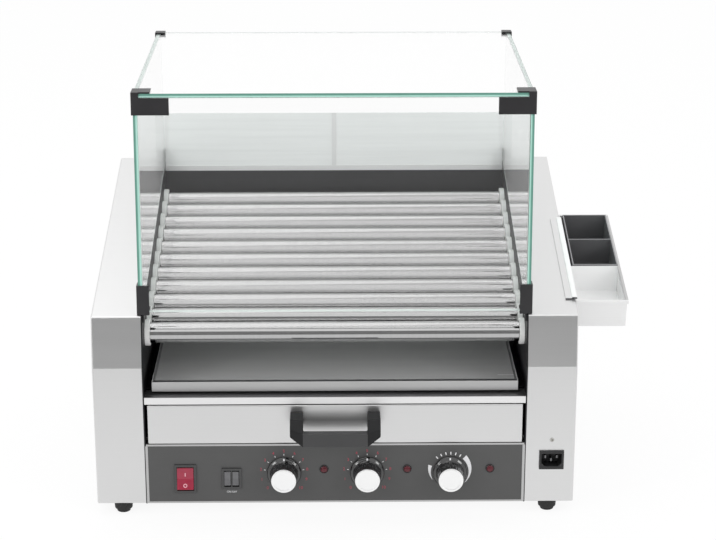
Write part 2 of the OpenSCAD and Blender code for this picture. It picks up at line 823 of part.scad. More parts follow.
module power_rocker() color(red) placed() facing(power_x, switch_height) rocker(power_w, power_h, 1);

module twin_switch_body() color(black) placed() facing(twin_x, switch_height) switch_body(twin_w, twin_h, 2);

module twin_rocker(i) color(dark_steel) placed() facing(twin_x + paddle_x(twin_w, 2, i), switch_height)
    rocker(twin_w, twin_h, 2);

// Outside of the inlet behind its bezel, grown all round, from depth back to front
module inlet_body(grow, back, front) {
    w = socket_w + 2 * inlet_wall;
    h = socket_h + 2 * inlet_wall;
    block([-w / 2 - grow, w / 2 + grow], [-h / 2 - grow, h / 2 + grow], [-back, front]);
}

module mains_inlet() color(black) placed() facing(half_w - inlet_x, base_z + inlet_z) {
    blade = [2, 4];
    blade_pitch = 7;
    blade_rise = 2;
    corner = socket_h / 4;
    socket_back = bezel_t - socket_d;
    difference() {
        union() {
            block([-inlet_w / 2, inlet_w / 2], [-inlet_h / 2, inlet_h / 2], [0, bezel_t]);
            inlet_body(0, socket_d, bezel_t / 2);
        }
        translate([0, 0, socket_back]) linear_extrude(socket_d + over) polygon([
            [-socket_w / 2, socket_h / 2],
            [-socket_w / 2, -socket_h / 2 + corner],
            [-socket_w / 2 + corner, -socket_h / 2],
            [socket_w / 2 - corner, -socket_h / 2],
            [socket_w / 2, -socket_h / 2 + corner],
            [socket_w / 2, socket_h / 2]
        ]);
    }
    for (p = [[-blade_pitch, blade_rise], [0, -blade_rise], [blade_pitch, blade_rise]])
        translate([p.x, p.y, socket_back - over])
            translate([-blade.x / 2, -blade.y / 2, 0]) cube([blade.x, blade.y, blade_len + over]);
}

// Drawer and drip tray

// Straight heating rods across the drawer's floor, each on two saddles
module drawer_heater() color(brass) placed() {
    lift = 1.5;
    saddle = 12;
    end_inset = 60;
    rod_rise = rod_d / 2 + lift;
    rod_end = inner_x - runner_w - saddle;
    for (y = [shelf_y + end_inset, well_y - end_inset]) {
        bar([y, shelf_z + rod_rise], rod_d, -rod_end, rod_end);
        both_sides() block([rod_end - end_inset - saddle, rod_end - end_inset], [y - rod_d, y + rod_d],
            [shelf_z, shelf_z + rod_rise]);
    }
}

// Open-topped pan between two values on each axis
module pan(x, y, z, wall) difference() {
    block(x, y, z);
    block([x[0] + wall, x[1] - wall], [y[0] + wall, y[1] - wall], [z[0] + wall, z[1] + over]);
}

module drawer_box() color(steel) placed()
    pan([-inner_x + drawer_side_gap, inner_x - drawer_side_gap], [sheet, drawer_len],
        [box_z, box_z + drawer_h], sheet);

module drawer_front() color(steel) placed() {
    x = inner_x - drawer_front_gap;
    difference() {
        block([-x, x], [0, drawer_fold], [drawer_z, drawer_top_z]);
        block([-x + sheet, x - sheet], [sheet, drawer_fold + over], [drawer_z + sheet, drawer_top_z - sheet]);
    }
}

module drawer_handle() color(black) placed() {
    both_sides() along_x(leg_x - handle_leg_w, leg_x) polygon([
        [0, handle_top_z],
        [-handle_reach, grip_top_z],
        [-handle_reach, grip_top_z - grip_h],
        [-handle_reach + grip_t, grip_top_z - grip_h],
        [0, handle_top_z - handle_heel]
    ]);
    block([-leg_x + handle_leg_w, leg_x - handle_leg_w], [-handle_reach, -handle_reach + grip_t],
        [grip_top_z - grip_h, grip_top_z]);
}

module drip_tray() color(dark_steel) placed()
    pan([-drip_x, drip_x], [drip_front_y, drip_rear_y], [drip_z, drip_z + drip_h], sheet);

// Hood

module hood_top_glass() color(clear_glass) placed()
    block([-hood_x, hood_x], [hood_top_y, hood_back_y], [glass_top_z, hood_top_z]);

module hood_front_glass() color(clear_glass) placed() {
    reach = glass_t / cos(hood_lean);
    x = hood_x - glass_t - snug;
    along_x(-x, x) polygon([
        [hood_front_y, hood_bottom_z],
        [hood_front_y + reach, hood_bottom_z + reach * rise],
        [hood_top_y + reach, glass_top_z],
        [hood_top_y, glass_top_z]
    ]);
}

module hood_side_glasses() color(clear_glass) placed() both_sides()
    along_x(hood_x - glass_t, hood_x) polygon(side_glass_outline);

module hood_envelope() along_x(-hood_x, hood_x) polygon(envelope_outline);

// Caps outside the glass: three-sided at the upper corners, with a sole under the glass at the lower ones
module hood_clips() color(black) placed() both_sides() {
    x = hood_x + clip_t;
    front = hood_top_y - clip_t;
    top = hood_top_z + clip_t;
    sole = hood_seat - seat;
    slant = tan(hood_lean);
    difference() {
        union() {
            along_x(x - clip_front_w, x) polygon([
                [front - clip_front_h * slant, glass_top_z - clip_front_h],
                [hood_top_y + glass_t, glass_top_z - clip_front_h],
                [hood_top_y + glass_t, glass_top_z],
                [front, glass_top_z]
            ]);
            block([x - clip_top_w, x], [front, front + clip_top_d], [glass_top_z - clip_t, top]);
        }
        hood_envelope();
        block([-over, x - clip_corner], [front - over, hood_top_y], [glass_top_z, top + over]);
    }
    difference() {
        block([x - clip_rear, x], [hood_back_y + clip_t - clip_rear, hood_back_y + clip_t], [top - clip_rear, top]);
        hood_envelope();
        block([-over, hood_x], [0, hood_back_y + over], [0, glass_top_z]);
    }
    tongue_x = inner_x - seat;
    tongue_y = hood_front_y + clip_foot_w;
    along_x(tongue_x - clip_t, tongue_x) polygon([
        [hood_front_y, top_z(hood_front_y) - clip_tongue],
        [tongue_y, top_z(tongue_y) - clip_tongue],
        [tongue_y, top_z(tongue_y) + hood_seat / 2],
        [hood_front_y, top_z(hood_front_y) + hood_seat / 2]
    ]);
    difference() {
        along_x(x - clip_foot_w, x) polygon([
            [hood_front_y - clip_t, hood_bottom_z - sole - clip_t * rise],
            [hood_front_y + clip_foot_w, hood_bottom_z - sole + clip_foot_w * rise],
            [hood_front_y + clip_foot_w, hood_bottom_z + clip_foot_h],
            [hood_front_y - clip_t + clip_foot_h * slant, hood_bottom_z + clip_foot_h]
        ]);
        hood_envelope();
    }
    difference() {
        along_x(hood_x - glass_t, x) polygon([
            [hood_rear_y - clip_heel, top_z(hood_rear_y - clip_heel) + seat],
            [hood_rear_y + clip_t, top_z(hood_rear_y + clip_t) + seat],
            [hood_rear_y + clip_t, top_z(hood_rear_y) + clip_heel],
            [hood_rear_y - clip_heel, top_z(hood_rear_y) + clip_heel]
        ]);
        hood_envelope();
    }
}

// Side tray

module stud_bar(y, d, x0, x1) translate([0, y, -stud_drop]) rotate([0, 90, 0])
    translate([0, 0, x0]) cylinder(h = x1 - x0, d = d);

// Shoulder studs: a base on the casing, a shank through the tray's keyhole, a head inside the tray
module tray_studs() color(steel) placed() on_slope() for (y = stud_spots) {
    stud_bar(y, stud_base_d, -side_gap, -seat);
    stud_bar(y, stud_d, -side_gap, side_wall + seat + stud_head_t);
    stud_bar(y, stud_head_d, side_wall + seat, side_wall + seat + stud_head_t);
    stud_bar(y, stud_tail_d, -side_gap - sheet - stud_tail, -side_gap);
}

// Keyhole in the casing-side wall: a slot over the shank and a head-sized hole below it
module keyhole(y) {
    low = stud_drop + stud_lift;
    stud_bar(y, stud_d + 2 * seat, -over, side_wall + over);
    block([-over, side_wall + over], [y - stud_d / 2 - seat, y + stud_d / 2 + seat], [-low, -stud_drop]);
    translate([0, y, -low]) rotate([0, 90, 0]) translate([0, 0, -over])
        cylinder(h = side_wall + 2 * over, d = stud_head_d + 2 * seat);
}

module side_tray() color(steel) placed() on_slope() difference() {
    union() {
        pan([0, side_w], [0, side_len], [-side_depth, 0], side_wall);
        block([side_wall / 2, side_w - side_wall / 2], [side_front_len, side_front_len + side_wall],
            [-side_depth + side_wall / 2, 0]);
    }
    for (y = stud_spots) keyhole(y);
}

// Bin with two cells, standing on the tray's floor in the rear compartment
module tray_bin() color(black) placed() on_slope() {
    x = [side_wall + bin_stud_gap, side_w - side_wall - seat];
    y = [side_front_len + side_wall + seat, side_len - side_wall - seat];
    z = [-side_depth + side_wall + seat, bin_rim];
    middle = (y[0] + y[1]) / 2;
    pan(x, y, z, bin_wall);
    block([x[0] + bin_wall / 2, x[1] - bin_wall / 2], [middle - bin_wall / 2, middle + bin_wall / 2],
        [z[0] + bin_wall / 2, z[1]]);
}

// Fasteners

module screw() {
    cylinder(h = screw_head_t, d = screw_head_d);
    translate([0, 0, -screw_len]) cylinder(h = screw_len + screw_head_t / 2, d = screw_d);
}

module fixing_screws() color(steel) placed() both_sides() for (z = cover_screw_heights())
    translate([inner_x - flange_w / 2, cover_y + sheet, z]) rotate([-90, 0, 0]) screw();

base_pan();
feet();
left_casing();
right_casing();
left_side_plate();
right_side_plate();
rear_cover();
well_back();
rear_guard();
front_rail();
control_panel();
drawer_shelf();
drawer_runners();
tray_ledges();
roller_bushes();
heating_rods();
heater_brackets();
drive_motor();
motor_bracket();
drive_chain();
drive_sprocket();
thermostats();
power_switch_body();
power_rocker();
twin_switch_body();
twin_rocker(0);  // twin_rocker_left
twin_rocker(1);  // twin_rocker_right
indicator_lamps();
mains_inlet();
drawer_heater();
fixing_screws();
tray_studs();
roller(0);  // roller_01
roller(1);  // roller_02
roller(2);  // roller_03
roller(3);  // roller_04
roller(4);  // roller_05
roller(5);  // roller_06
roller(6);  // roller_07
roller(7);  // roller_08
roller(8);  // roller_09
roller(9);  // roller_10
roller(10);  // roller_11
knob(knob_x1);  // knob_left
knob(knob_x2);  // knob_middle
knob(knob_x3);  // knob_right
knob_cap(knob_x1);  // knob_cap_left
knob_cap(knob_x2);  // knob_cap_middle
knob_cap(knob_x3);  // knob_cap_right
drawer_box();
drawer_front();
drawer_handle();
drip_tray();
hood_top_glass();
hood_front_glass();
hood_side_glasses();
hood_clips();
side_tray();
tray_bin();
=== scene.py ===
# %% [markdown]
# A counter-top hot dog roller machine, dressed for looks. The construction comes packed as a fixed frame:
# every solid already stands at its real place and size. This lesson keeps the solids whose shape is right,
# rounds the edges of folded and moulded ones, and builds the small turned, moulded and printed pieces anew
# as surfaces worked out with numpy.

# %% Load the frame
import json
import math

import bmesh
import bpy
import numpy as np
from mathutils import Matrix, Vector
from mathutils.bvhtree import BVHTree

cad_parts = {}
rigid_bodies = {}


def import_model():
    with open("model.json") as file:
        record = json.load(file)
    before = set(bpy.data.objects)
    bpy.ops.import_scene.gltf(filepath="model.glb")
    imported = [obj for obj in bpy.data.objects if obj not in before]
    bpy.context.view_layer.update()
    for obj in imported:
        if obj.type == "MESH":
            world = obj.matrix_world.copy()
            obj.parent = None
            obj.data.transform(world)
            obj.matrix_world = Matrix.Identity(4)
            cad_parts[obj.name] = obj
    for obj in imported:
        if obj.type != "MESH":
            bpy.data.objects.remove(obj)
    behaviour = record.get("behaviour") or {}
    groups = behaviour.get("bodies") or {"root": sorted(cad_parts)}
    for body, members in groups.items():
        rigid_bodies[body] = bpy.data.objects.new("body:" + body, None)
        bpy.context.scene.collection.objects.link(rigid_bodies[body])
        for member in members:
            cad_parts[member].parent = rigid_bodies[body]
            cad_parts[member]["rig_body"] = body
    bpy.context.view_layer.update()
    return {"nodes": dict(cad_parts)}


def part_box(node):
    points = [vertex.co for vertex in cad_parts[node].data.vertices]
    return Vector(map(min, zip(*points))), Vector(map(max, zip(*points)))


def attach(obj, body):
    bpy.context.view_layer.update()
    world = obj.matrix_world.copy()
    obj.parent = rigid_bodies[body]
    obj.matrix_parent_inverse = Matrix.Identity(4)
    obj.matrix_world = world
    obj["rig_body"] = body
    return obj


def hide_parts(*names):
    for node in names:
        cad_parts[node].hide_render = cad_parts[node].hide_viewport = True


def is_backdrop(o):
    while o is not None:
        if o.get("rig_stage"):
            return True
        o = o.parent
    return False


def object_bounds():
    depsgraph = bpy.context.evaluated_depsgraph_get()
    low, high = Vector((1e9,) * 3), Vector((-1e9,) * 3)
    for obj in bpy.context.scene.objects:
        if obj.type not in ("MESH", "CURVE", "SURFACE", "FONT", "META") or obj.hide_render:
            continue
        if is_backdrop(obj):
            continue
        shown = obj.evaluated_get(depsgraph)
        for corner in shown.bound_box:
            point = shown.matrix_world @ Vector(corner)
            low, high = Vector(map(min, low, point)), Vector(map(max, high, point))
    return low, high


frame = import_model()
MM = 0.001

# %% [markdown]
# The panel's front face, the knobs' axes and the slope of the deck are the places that the new pieces hang
# on. They could be typed in as numbers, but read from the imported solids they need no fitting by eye.

# %% Measure the places
def box_of(node_name):
    """Lowest and highest corner of a solid's box in metres, as the two rows of an array."""
    return np.array([tuple(corner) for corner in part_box(node_name)])


def middle(node_name):
    """Centre of a solid's box."""
    return box_of(node_name).mean(axis=0)


def on_face(node_name):
    """Centre of a solid's box, moved straight to the panel's front face."""
    return middle(node_name) * [1, 0, 1] + [0, PANEL_FACE, 0]


panel_low, panel_high = box_of("control_panel")
PANEL_FACE = panel_low[1]
MACHINE_MIDDLE = middle("control_panel")[0]
knob_places = {side: on_face("knob_cap_" + side) for side in ("left", "middle", "right")}
deck = middle("roller_11") - middle("roller_01")
SLOPE = math.atan2(deck[2], deck[1])
print("panel face at", round(PANEL_FACE / MM, 2), "mm; deck slope", round(math.degrees(SLOPE), 2), "degrees")

# %% [markdown]
# A few small tools carry all the materials: one turns a colour as it is written on screen into the linear
# values that the renderer works with, one adds a node with its settings and links, two open and close a
# material, and one lets a pattern of marks move colour, shine and surface together, as real marks do. With
# them a material reads as a short list of what the real surface is.

# %% Tools for materials
def linear(colour):
    """Linear RGBA of an sRGB hex colour: c / 12.92 below 0.04045, above it ((c + 0.055) / 1.055) ** 2.4."""
    channels = np.array([int(colour[i:i + 2], 16) for i in (1, 3, 5)]) / 255
    values = np.where(channels < 0.04045, channels / 12.92, ((channels + 0.055) / 1.055) ** 2.4)
    return (*values.tolist(), 1.0)


def node(tree, kind, inputs=None, **settings):
    """Adds one shader node: settings are its properties and inputs its sockets.
    An input given as a node, or as an output of one, is linked."""
    made = tree.nodes.new("ShaderNode" + kind)
    for key, value in settings.items():
        setattr(made, key, value)
    for key, value in (inputs or {}).items():
        if isinstance(value, bpy.types.Node):
            value = value.outputs[0]
        if isinstance(value, bpy.types.NodeSocket):
            tree.links.new(value, made.inputs[key])
        else:
            made.inputs[key].default_value = value
    return made


def new_material(name):
    """A new material and its empty node tree."""
    made = bpy.data.materials.new(name)
    made.use_nodes = True
    made.node_tree.nodes.clear()
    return made, made.node_tree


def shaded(made, sockets):
    """A material's Principled shader, which takes these sockets, and its output."""
    shader = node(made.node_tree, "BsdfPrincipled", sockets)
    node(made.node_tree, "OutputMaterial", {"Surface": shader})
    return made


# Sockets of the mix node, by their order in Blender's list
FACTOR, VECTOR_A, VECTOR_B, COLOUR_A, COLOUR_B, VECTOR_OUT, COLOUR_OUT = 0, 4, 5, 6, 7, 1, 2
# Most values of a noise lie in this span
NOISE_SPAN = (0.3, 0.7)


def skin(tree, tint, colours, shine, rough, play, relief, strength, depth, span=NOISE_SPAN):
    """Sockets of a marked surface: tint blends two colours, shine moves the roughness by play to either side
    as it crosses the span, and relief raises the surface by depth in metres."""
    tone = node(tree, "Mix", {
        FACTOR: tint, COLOUR_A: linear(colours[0]), COLOUR_B: linear(colours[1])}, data_type="RGBA")
    spread = node(tree, "MapRange", {
        "Value": shine, "From Min": span[0], "From Max": span[1],
        "To Min": rough - play, "To Max": rough + play})
    bump = node(tree, "Bump", {"Height": relief, "Strength": strength, "Distance": depth})
    return {"Base Color": tone.outputs[COLOUR_OUT], "Roughness": spread, "Normal": bump}


print("tools for materials ready; mid grey is", round(linear("#808080")[0], 3), "in linear light")

# %% [markdown]
# Most of the machine is folded stainless sheet, finished with an abrasive belt before it was bent. The belt
# leaves long fine scratches one way, so a reflection smears across them and stays sharp along them. Real
# grooves would be far too many faces, so a noise stretched a hundredfold along the belt gives them; it
# moves the colour a little, the roughness more, and the surface by about a micrometre. The real scratches
# are near 0.1 mm apart, too fine for this picture, so they are drawn 1.6 mm apart.

# %% Brushed stainless steel
STREAK_GAP, STREAK_LENGTH, CLOUD_WIDE = 1.6 * MM, 220 * MM, 111 * MM
STREAK_DEPTH, STREAK_STRENGTH, STREAK_SHINE, CLOUD_SHINE = 0.05 * MM, 0.02, 0.03, 0.05
SIDEWAYS = 0.8


def brushed_steel(name, bright, dull, rough, length=STREAK_LENGTH, gap=STREAK_GAP, metal=1.0):
    """Belt-brushed sheet: the eye sees soft reflections with faint lines, along X on fronts and along Y on
    sides. metal below 1 is a blasted or hazed sheet, which also scatters light like chalk."""
    made, tree = new_material(name)
    place = node(tree, "TexCoord")
    across, endways = (
        node(tree, "Mapping", {"Vector": place.outputs["Object"], "Scale": scale}).outputs[0]
        for scale in ((1 / length, 1 / gap, 1 / gap), (1 / gap, 1 / length, 1 / gap)))
    facing = node(tree, "SeparateXYZ", {"Vector": place.outputs["Normal"]})
    turn = node(tree, "Math", {0: facing.outputs["X"]}, operation="ABSOLUTE")
    on_side = node(tree, "Math", {0: turn, 1: SIDEWAYS}, operation="GREATER_THAN")
    line = node(tree, "Mix", {FACTOR: on_side, VECTOR_A: across, VECTOR_B: endways}, data_type="VECTOR")
    streak = node(tree, "TexNoise", {
        "Vector": line.outputs[VECTOR_OUT], "Scale": 1.0, "Detail": 5.0, "Roughness": 0.65})
    cloud = node(tree, "TexNoise", {
        "Vector": place.outputs["Object"], "Scale": 1 / CLOUD_WIDE, "Detail": 2.0})
    sockets = skin(tree, streak, (dull, bright), streak, rough, STREAK_SHINE,
                   streak, STREAK_STRENGTH, STREAK_DEPTH)
    worn = node(tree, "Math", {0: cloud, 1: CLOUD_SHINE, 2: sockets["Roughness"]}, operation="MULTIPLY_ADD")
    return shaded(made, {**sockets, "Roughness": worn, "Metallic": metal})


# Belt-finished sheet: bright, with a soft sheen
stainless = brushed_steel("brushed stainless sheet", "#E2E2E2", "#DDDDDD", 0.32)
# Sheet hazed by cleaning or blasting: pale from every side, with a weak sheen
guard_steel = brushed_steel("hazed stainless guard", "#FFFFFF", "#EAEAEA", 0.34, gap=5 * MM, metal=0.12)
tinned = brushed_steel("blasted stainless tray", "#FCFCFC", "#F6F6F6", 0.42, metal=0.1)
tray_steel = brushed_steel("satin stainless tray front", "#EBEBEB", "#E5E5E5", 0.36, metal=0.6)
drip_steel = brushed_steel("hazed stainless pan", "#ECECEC", "#E2E2E2", 0.22, 400 * MM, 12 * MM, metal=0.3)
# Sheet as rolled, and two darker steels that are painted shade: grey to nearly black, with little sheen
rolled_steel = brushed_steel("mill-rolled steel", "#C8C8C8", "#BEBEBE", 0.36)
# Painted shade: the next two steels darken hollows, gaps and the space under the deck
dark_steel = brushed_steel("grey steel as painted shade", "#8F8F90", "#7C7C7E", 0.42)
near_black_shade_steel = brushed_steel("near black steel as painted shade", "#3C3C3E", "#343436", 0.45)
# Zinc plate on small turned steel: bright and a little warm
bright_steel = brushed_steel("plated steel", "#DAD9D6", "#CFCDCA", 0.22)
print("steel finishes, from", stainless.name, "to", bright_steel.name)

# %% [markdown]
# The rollers are drawn stainless tube, polished on a lathe: the marks run around the tube, so its long
# bright and dark reflections stay straight and clean along its length. The same kind of noise is therefore
# squeezed along X and left smooth around the axis. On knob caps and screws the marks are rings about the
# piece's own axis. Object coordinates don't know that axis, so the mesh carries each point's distance from
# it as an attribute, and the noise follows that.

# %% Polished roller tube and other metals
LATHE_GAP, LATHE_REACH, SMEAR_WIDE = 2.5 * MM, 60 * MM, 71 * MM
LATHE_DEPTH, LATHE_STRENGTH, LATHE_ROUGH, LATHE_SHINE = 0.03 * MM, 0.01, 0.07, 0.01
SPIN_GAP_MM, SPIN_DEPTH, SPIN_STRENGTH, SPIN_SHINE = 0.45, 0.05 * MM, 0.15, 0.06


def polished_tube(name, bright, dull):
    """Lathe-polished tube: the eye sees a mirror drawn into straight bands, with faint rings around it."""
    made, tree = new_material(name)
    place = node(tree, "TexCoord").outputs["Object"]
    squeeze = (1 / LATHE_GAP, 1 / LATHE_REACH, 1 / LATHE_REACH)
    rings = node(tree, "Mapping", {"Vector": place, "Scale": squeeze})
    mark = node(tree, "TexNoise", {"Vector": rings, "Scale": 1.0, "Detail": 4.0})
    smear = node(tree, "TexNoise", {"Vector": place, "Scale": 1 / SMEAR_WIDE, "Detail": 3.0})
    sockets = skin(tree, mark, (dull, bright), smear, LATHE_ROUGH, LATHE_SHINE,
                   mark, LATHE_STRENGTH, LATHE_DEPTH)
    return shaded(made, {**sockets, "Metallic": 1.0})


def spun_metal(name, bright, dull, rough):
    """Metal turned in a spin lathe: the eye sees fine rings about the piece's own axis, read from its
    attribute radius_mm; a piece without one has an even tone."""
    made, tree = new_material(name)
    radius = node(tree, "Attribute", attribute_name="radius_mm")
    ring = node(tree, "TexNoise", {
        "W": radius.outputs["Fac"], "Scale": 1 / SPIN_GAP_MM, "Detail": 3.0}, noise_dimensions="1D")
    sockets = skin(tree, ring, (dull, bright), ring, rough, SPIN_SHINE,
                   ring, SPIN_STRENGTH, SPIN_DEPTH, span=(0, 1))
    return shaded(made, {**sockets, "Metallic": 1.0})


roller_steel = polished_tube("lathe-polished roller tube", "#BCBCBC", "#B4B4B4")
cap_metal = spun_metal("spun aluminium cap", "#FFFFFF", "#F8F8F8", 0.32)
screw_metal = spun_metal("zinc-plated screw", "#D8D7D2", "#B9B8B4", 0.28)
print("turned metals:", roller_steel.name, cap_metal.name, screw_metal.name)

# %% [markdown]
# The mouldings are plastic and rubber. Their colour is nearly even; what tells them apart is the skin that
# the mould gave them. A fine spark-eroded grain breaks the highlight of the black pieces, polished moulds
# leave the switch rockers and lenses glossy, and rubber is dull with a dusty bloom on top. One recipe
# serves them all, because only its numbers differ: colours, roughness, grain in mm and its height.

# %% Moulded plastics and rubber
MOTTLE_WIDE, MOTTLE_SHINE, GRAIN_DEPTH = 28.6 * MM, 0.04, 0.1 * MM


def moulded(name, colour, pale, rough, grain_mm, grain_height, **more):
    """Moulded plastic, rubber or ink: even colour with a faint mottle, and a skin of grain.
    Further sockets of the shader are given by name, with _ for a space."""
    made, tree = new_material(name)
    place = node(tree, "TexCoord").outputs["Object"]
    mottle, grain = (
        node(tree, "TexNoise", {"Vector": place, "Scale": 1 / size, "Detail": detail})
        for size, detail in ((MOTTLE_WIDE, 3.0), (grain_mm * MM, 2.0)))
    sockets = skin(tree, mottle, (colour, pale), mottle, rough, MOTTLE_SHINE,
                   grain, grain_height, GRAIN_DEPTH)
    return shaded(made, {**sockets, **{key.replace("_", " "): value for key, value in more.items()}})


# Grained black and charcoal mouldings: dull highlights, broken up by the grain
black_abs = moulded("black grained ABS", "#1B1B1C", "#242425", 0.42, 0.7, 0.25)
clip_abs = moulded("black satin clip moulding", "#232224", "#2B2A2C", 0.38, 0.9, 0.2)
leg_abs = moulded("matt black leg moulding", "#1C1C1D", "#232324", 0.5, 0.8, 0.3, Specular_IOR_Level=0.22)
# Painted sheen: the grip is the legs' black moulding, painted paler where its face catches light
grip_abs = moulded("grip painted paler as its sheen", "#333334", "#3D3D3E", 0.45, 0.8, 0.3)
bin_abs = moulded("black polypropylene bin", "#5E5E60", "#676769", 0.48, 1.1, 0.3)
# Painted sheen: the top of the bin's rim is paler, as the light it catches from above
bin_rim = moulded("bin rim painted paler as its sheen", "#8E8E90", "#9A9A9C", 0.36, 1.1, 0.2)
rubber = moulded("black rubber", "#1C1C1C", "#272727", 0.72, 0.5, 0.4)
# Polished mouldings: sharp small highlights, and some depth where the plastic lets light in
knob_abs = moulded("polished black phenolic", "#121213", "#18181A", 0.16, 1.6, 0.05, Coat_Weight=1.0)
red_rocker = moulded("red translucent polycarbonate", "#9C2A40", "#A8344C", 0.18, 2.5, 0.04,
                     Transmission_Weight=0.12, Subsurface_Weight=0.15)
grey_rocker = moulded("grey glossy ABS rocker", "#5E5E60", "#69696B", 0.24, 2.0, 0.05)
red_lens = moulded("red lamp polycarbonate", "#5E1020", "#6C1626", 0.12, 2.5, 0.03, Transmission_Weight=0.35)
# Turned plastic, printed film and ink: satin, with the colour doing the work
white_bush = moulded("white PTFE bush", "#F6F6F4", "#FBFBFA", 0.38, 1.2, 0.12)
panel_film = moulded("dark satin panel film", "#484848", "#4E4E4E", 0.40, 0.6, 0.10)
white_ink = moulded("white screen-print ink", "#DCDCDE", "#E8E8EA", 0.55, 0.5, 0.1)
pink_ink = moulded("pale ink in the rocker's marks", "#E0A8B2", "#E8B4BE", 0.5, 0.5, 0.1)
red_ink = moulded("red screen-print ink", "#A3384A", "#B34557", 0.55, 0.5, 0.1)
# Cast and oxidised metal has a skin like a moulding's: dark, with dull metallic highlights
oiled_iron = moulded("oiled black iron", "#2A2A2C", "#37373A", 0.35, 0.9, 0.2, Metallic=0.8)
heater_sheath = moulded("oxidised heater sheath", "#6E6558", "#7C7367", 0.5, 0.8, 0.2, Metallic=0.9)
print("mouldings and inks, from", black_abs.name, "to", heater_sheath.name)

# %% [markdown]
# The hood is clear float glass 5 mm thick. Through its faces it is almost invisible, but along its front
# edges the eye looks through hundreds of millimetres of glass, where a trace of iron turns the light green:
# deep green on the outer half of an edge, where the light has come furthest, pale aqua on the inner half.
# Absorption inside the glass would need many bounces of light for that, so the edge faces carry the colour.
# Light from the lamps would be lost in such a solid, so for their rays the pane is simply clear.

# %% Float glass
GLASS_IOR, WAVE_WIDE = 1.5, 33 * MM
UPRIGHT_STEP, LEVEL_STEP = (0.35, 0.75), (0.35, 0.7)


def float_glass(name):
    """Clear polished glass that lets lamp light and stray light straight through."""
    made, tree = new_material(name)
    glass = node(tree, "BsdfPrincipled", {
        "Base Color": linear("#FFFFFF"), "Transmission Weight": 1.0, "IOR": GLASS_IOR, "Roughness": 0.0})
    ray = node(tree, "LightPath").outputs
    passed = node(tree, "Math", {0: ray["Is Shadow Ray"], 1: ray["Is Diffuse Ray"]}, operation="MAXIMUM")
    through = node(tree, "BsdfTransparent", {"Color": linear("#F8FBFA")})
    node(tree, "OutputMaterial", {"Surface": node(tree, "MixShader", {0: passed, 1: glass, 2: through})})
    return made


def green_edge(name, axis, centre, reach, step):
    """Edge of the glass: a step from deep green to aqua, with the distance from centre along one axis.
    It lies between two shares of the pane's thickness, counted inwards from reach."""
    made, tree = new_material(name)
    place = node(tree, "TexCoord").outputs["Object"]
    part = node(tree, "SeparateXYZ", {"Vector": place})
    shift = node(tree, "Math", {0: part.outputs[axis], 1: centre}, operation="SUBTRACT")
    far = node(tree, "Math", {0: shift}, operation="ABSOLUTE")
    depth = node(tree, "MapRange", {
        "Value": far, "From Min": reach - step[0] * PANE, "From Max": reach - step[1] * PANE},
        interpolation_type="SMOOTHSTEP")
    wave = node(tree, "TexNoise", {"Vector": place, "Scale": 1 / WAVE_WIDE, "Detail": 3.0})
    deep = node(tree, "Mix", {FACTOR: wave, COLOUR_A: linear("#4F7F72"), COLOUR_B: linear("#6B9C8E")},
                data_type="RGBA")
    tone = node(tree, "Mix", {
        FACTOR: depth, COLOUR_A: deep.outputs[COLOUR_OUT], COLOUR_B: linear("#A9D6C9")}, data_type="RGBA")
    return shaded(made, {"Base Color": tone.outputs[COLOUR_OUT], "Roughness": 0.2, "IOR": GLASS_IOR})


side_low, side_high = box_of("hood_side_glasses")
top_low, top_high = box_of("hood_top_glass")
PANE = top_high[2] - top_low[2]
half_hood = (side_high[0] - side_low[0]) / 2
clear_glass = float_glass("clear float glass")
ground_edge = moulded("ground glass edge", "#DCE4E1", "#E6EDEA", 0.5, 0.8, 0.1, Transmission_Weight=0.3)
upright_edge = green_edge("green edge of an upright pane", "X", MACHINE_MIDDLE, half_hood, UPRIGHT_STEP)
level_edge = green_edge("green edge of the top pane", "Z", 0.0, top_high[2], LEVEL_STEP)
print("glass:", clear_glass.name, "with", upright_edge.name, "and", level_edge.name)

# %% [markdown]
# Every new shape is a grid of points: rows along a profile, columns around or across it. A profile turned
# about an axis gives knobs, caps, lamps, feet and screw heads. Blender's own primitives and its Spin tool
# could make them too, but a formula on whole arrays keeps every size in one readable place.

# %% Tools for new shapes
def quads(rows, columns, closed):
    """Cells of a grid numbered row by row: each joins a point to its neighbours ahead and above."""
    across = columns if closed else columns - 1
    row, column = np.meshgrid(np.arange(rows - 1), np.arange(across), indexing="ij")
    ahead = (column + 1) % columns
    here, above = row * columns, (row + 1) * columns
    return np.stack([here + column, here + ahead, above + ahead, above + column], axis=-1).reshape(-1, 4)


def eased(corners, reach, steps=5):
    """Polyline with round corners: from reach before a corner to reach after it,
    (1 - t)^2 before + 2 t (1 - t) corner + t^2 after."""
    corners = np.array(corners, float)
    before, at, after = corners[:-2], corners[1:-1], corners[2:]
    t = np.linspace(0, 1, steps)[None, :, None]

    def stop(towards):
        step = towards - at
        share = np.minimum(reach / np.linalg.norm(step, axis=1, keepdims=True), 0.5)
        return (at + step * share)[:, None]

    arcs = (1 - t) ** 2 * stop(before) + 2 * t * (1 - t) * at[:, None] + t ** 2 * stop(after)
    return np.vstack([corners[:1], arcs.reshape(-1, corners.shape[1]), corners[-1:]])


def turned(profile, origin, out, columns=64, swell=None, sink=None):
    """Profile of (radius, height) in mm carried round an axis: origin + height out + radius spoke(angle).
    swell(angle, height) scales the radius, for flutes; sink(across, up) lowers the height, for a cross."""
    out = np.array(out, float)
    side = np.array([1.0, 0.0, 0.0])
    up = np.cross(out, side)
    angle = np.linspace(0, 2 * math.pi, columns, endpoint=False)
    radius, height = (np.repeat(values[:, None], columns, axis=1) for values in np.array(profile, float).T)
    if swell is not None:
        radius = radius * swell(angle[None, :], height)
    across, along = radius * np.cos(angle), radius * np.sin(angle)
    if sink is not None:
        height = height - sink(across, along)
    points = height[..., None] * out + across[..., None] * side + along[..., None] * up
    return np.array(origin) + MM * points.reshape(-1, 3), quads(len(profile), columns, True)


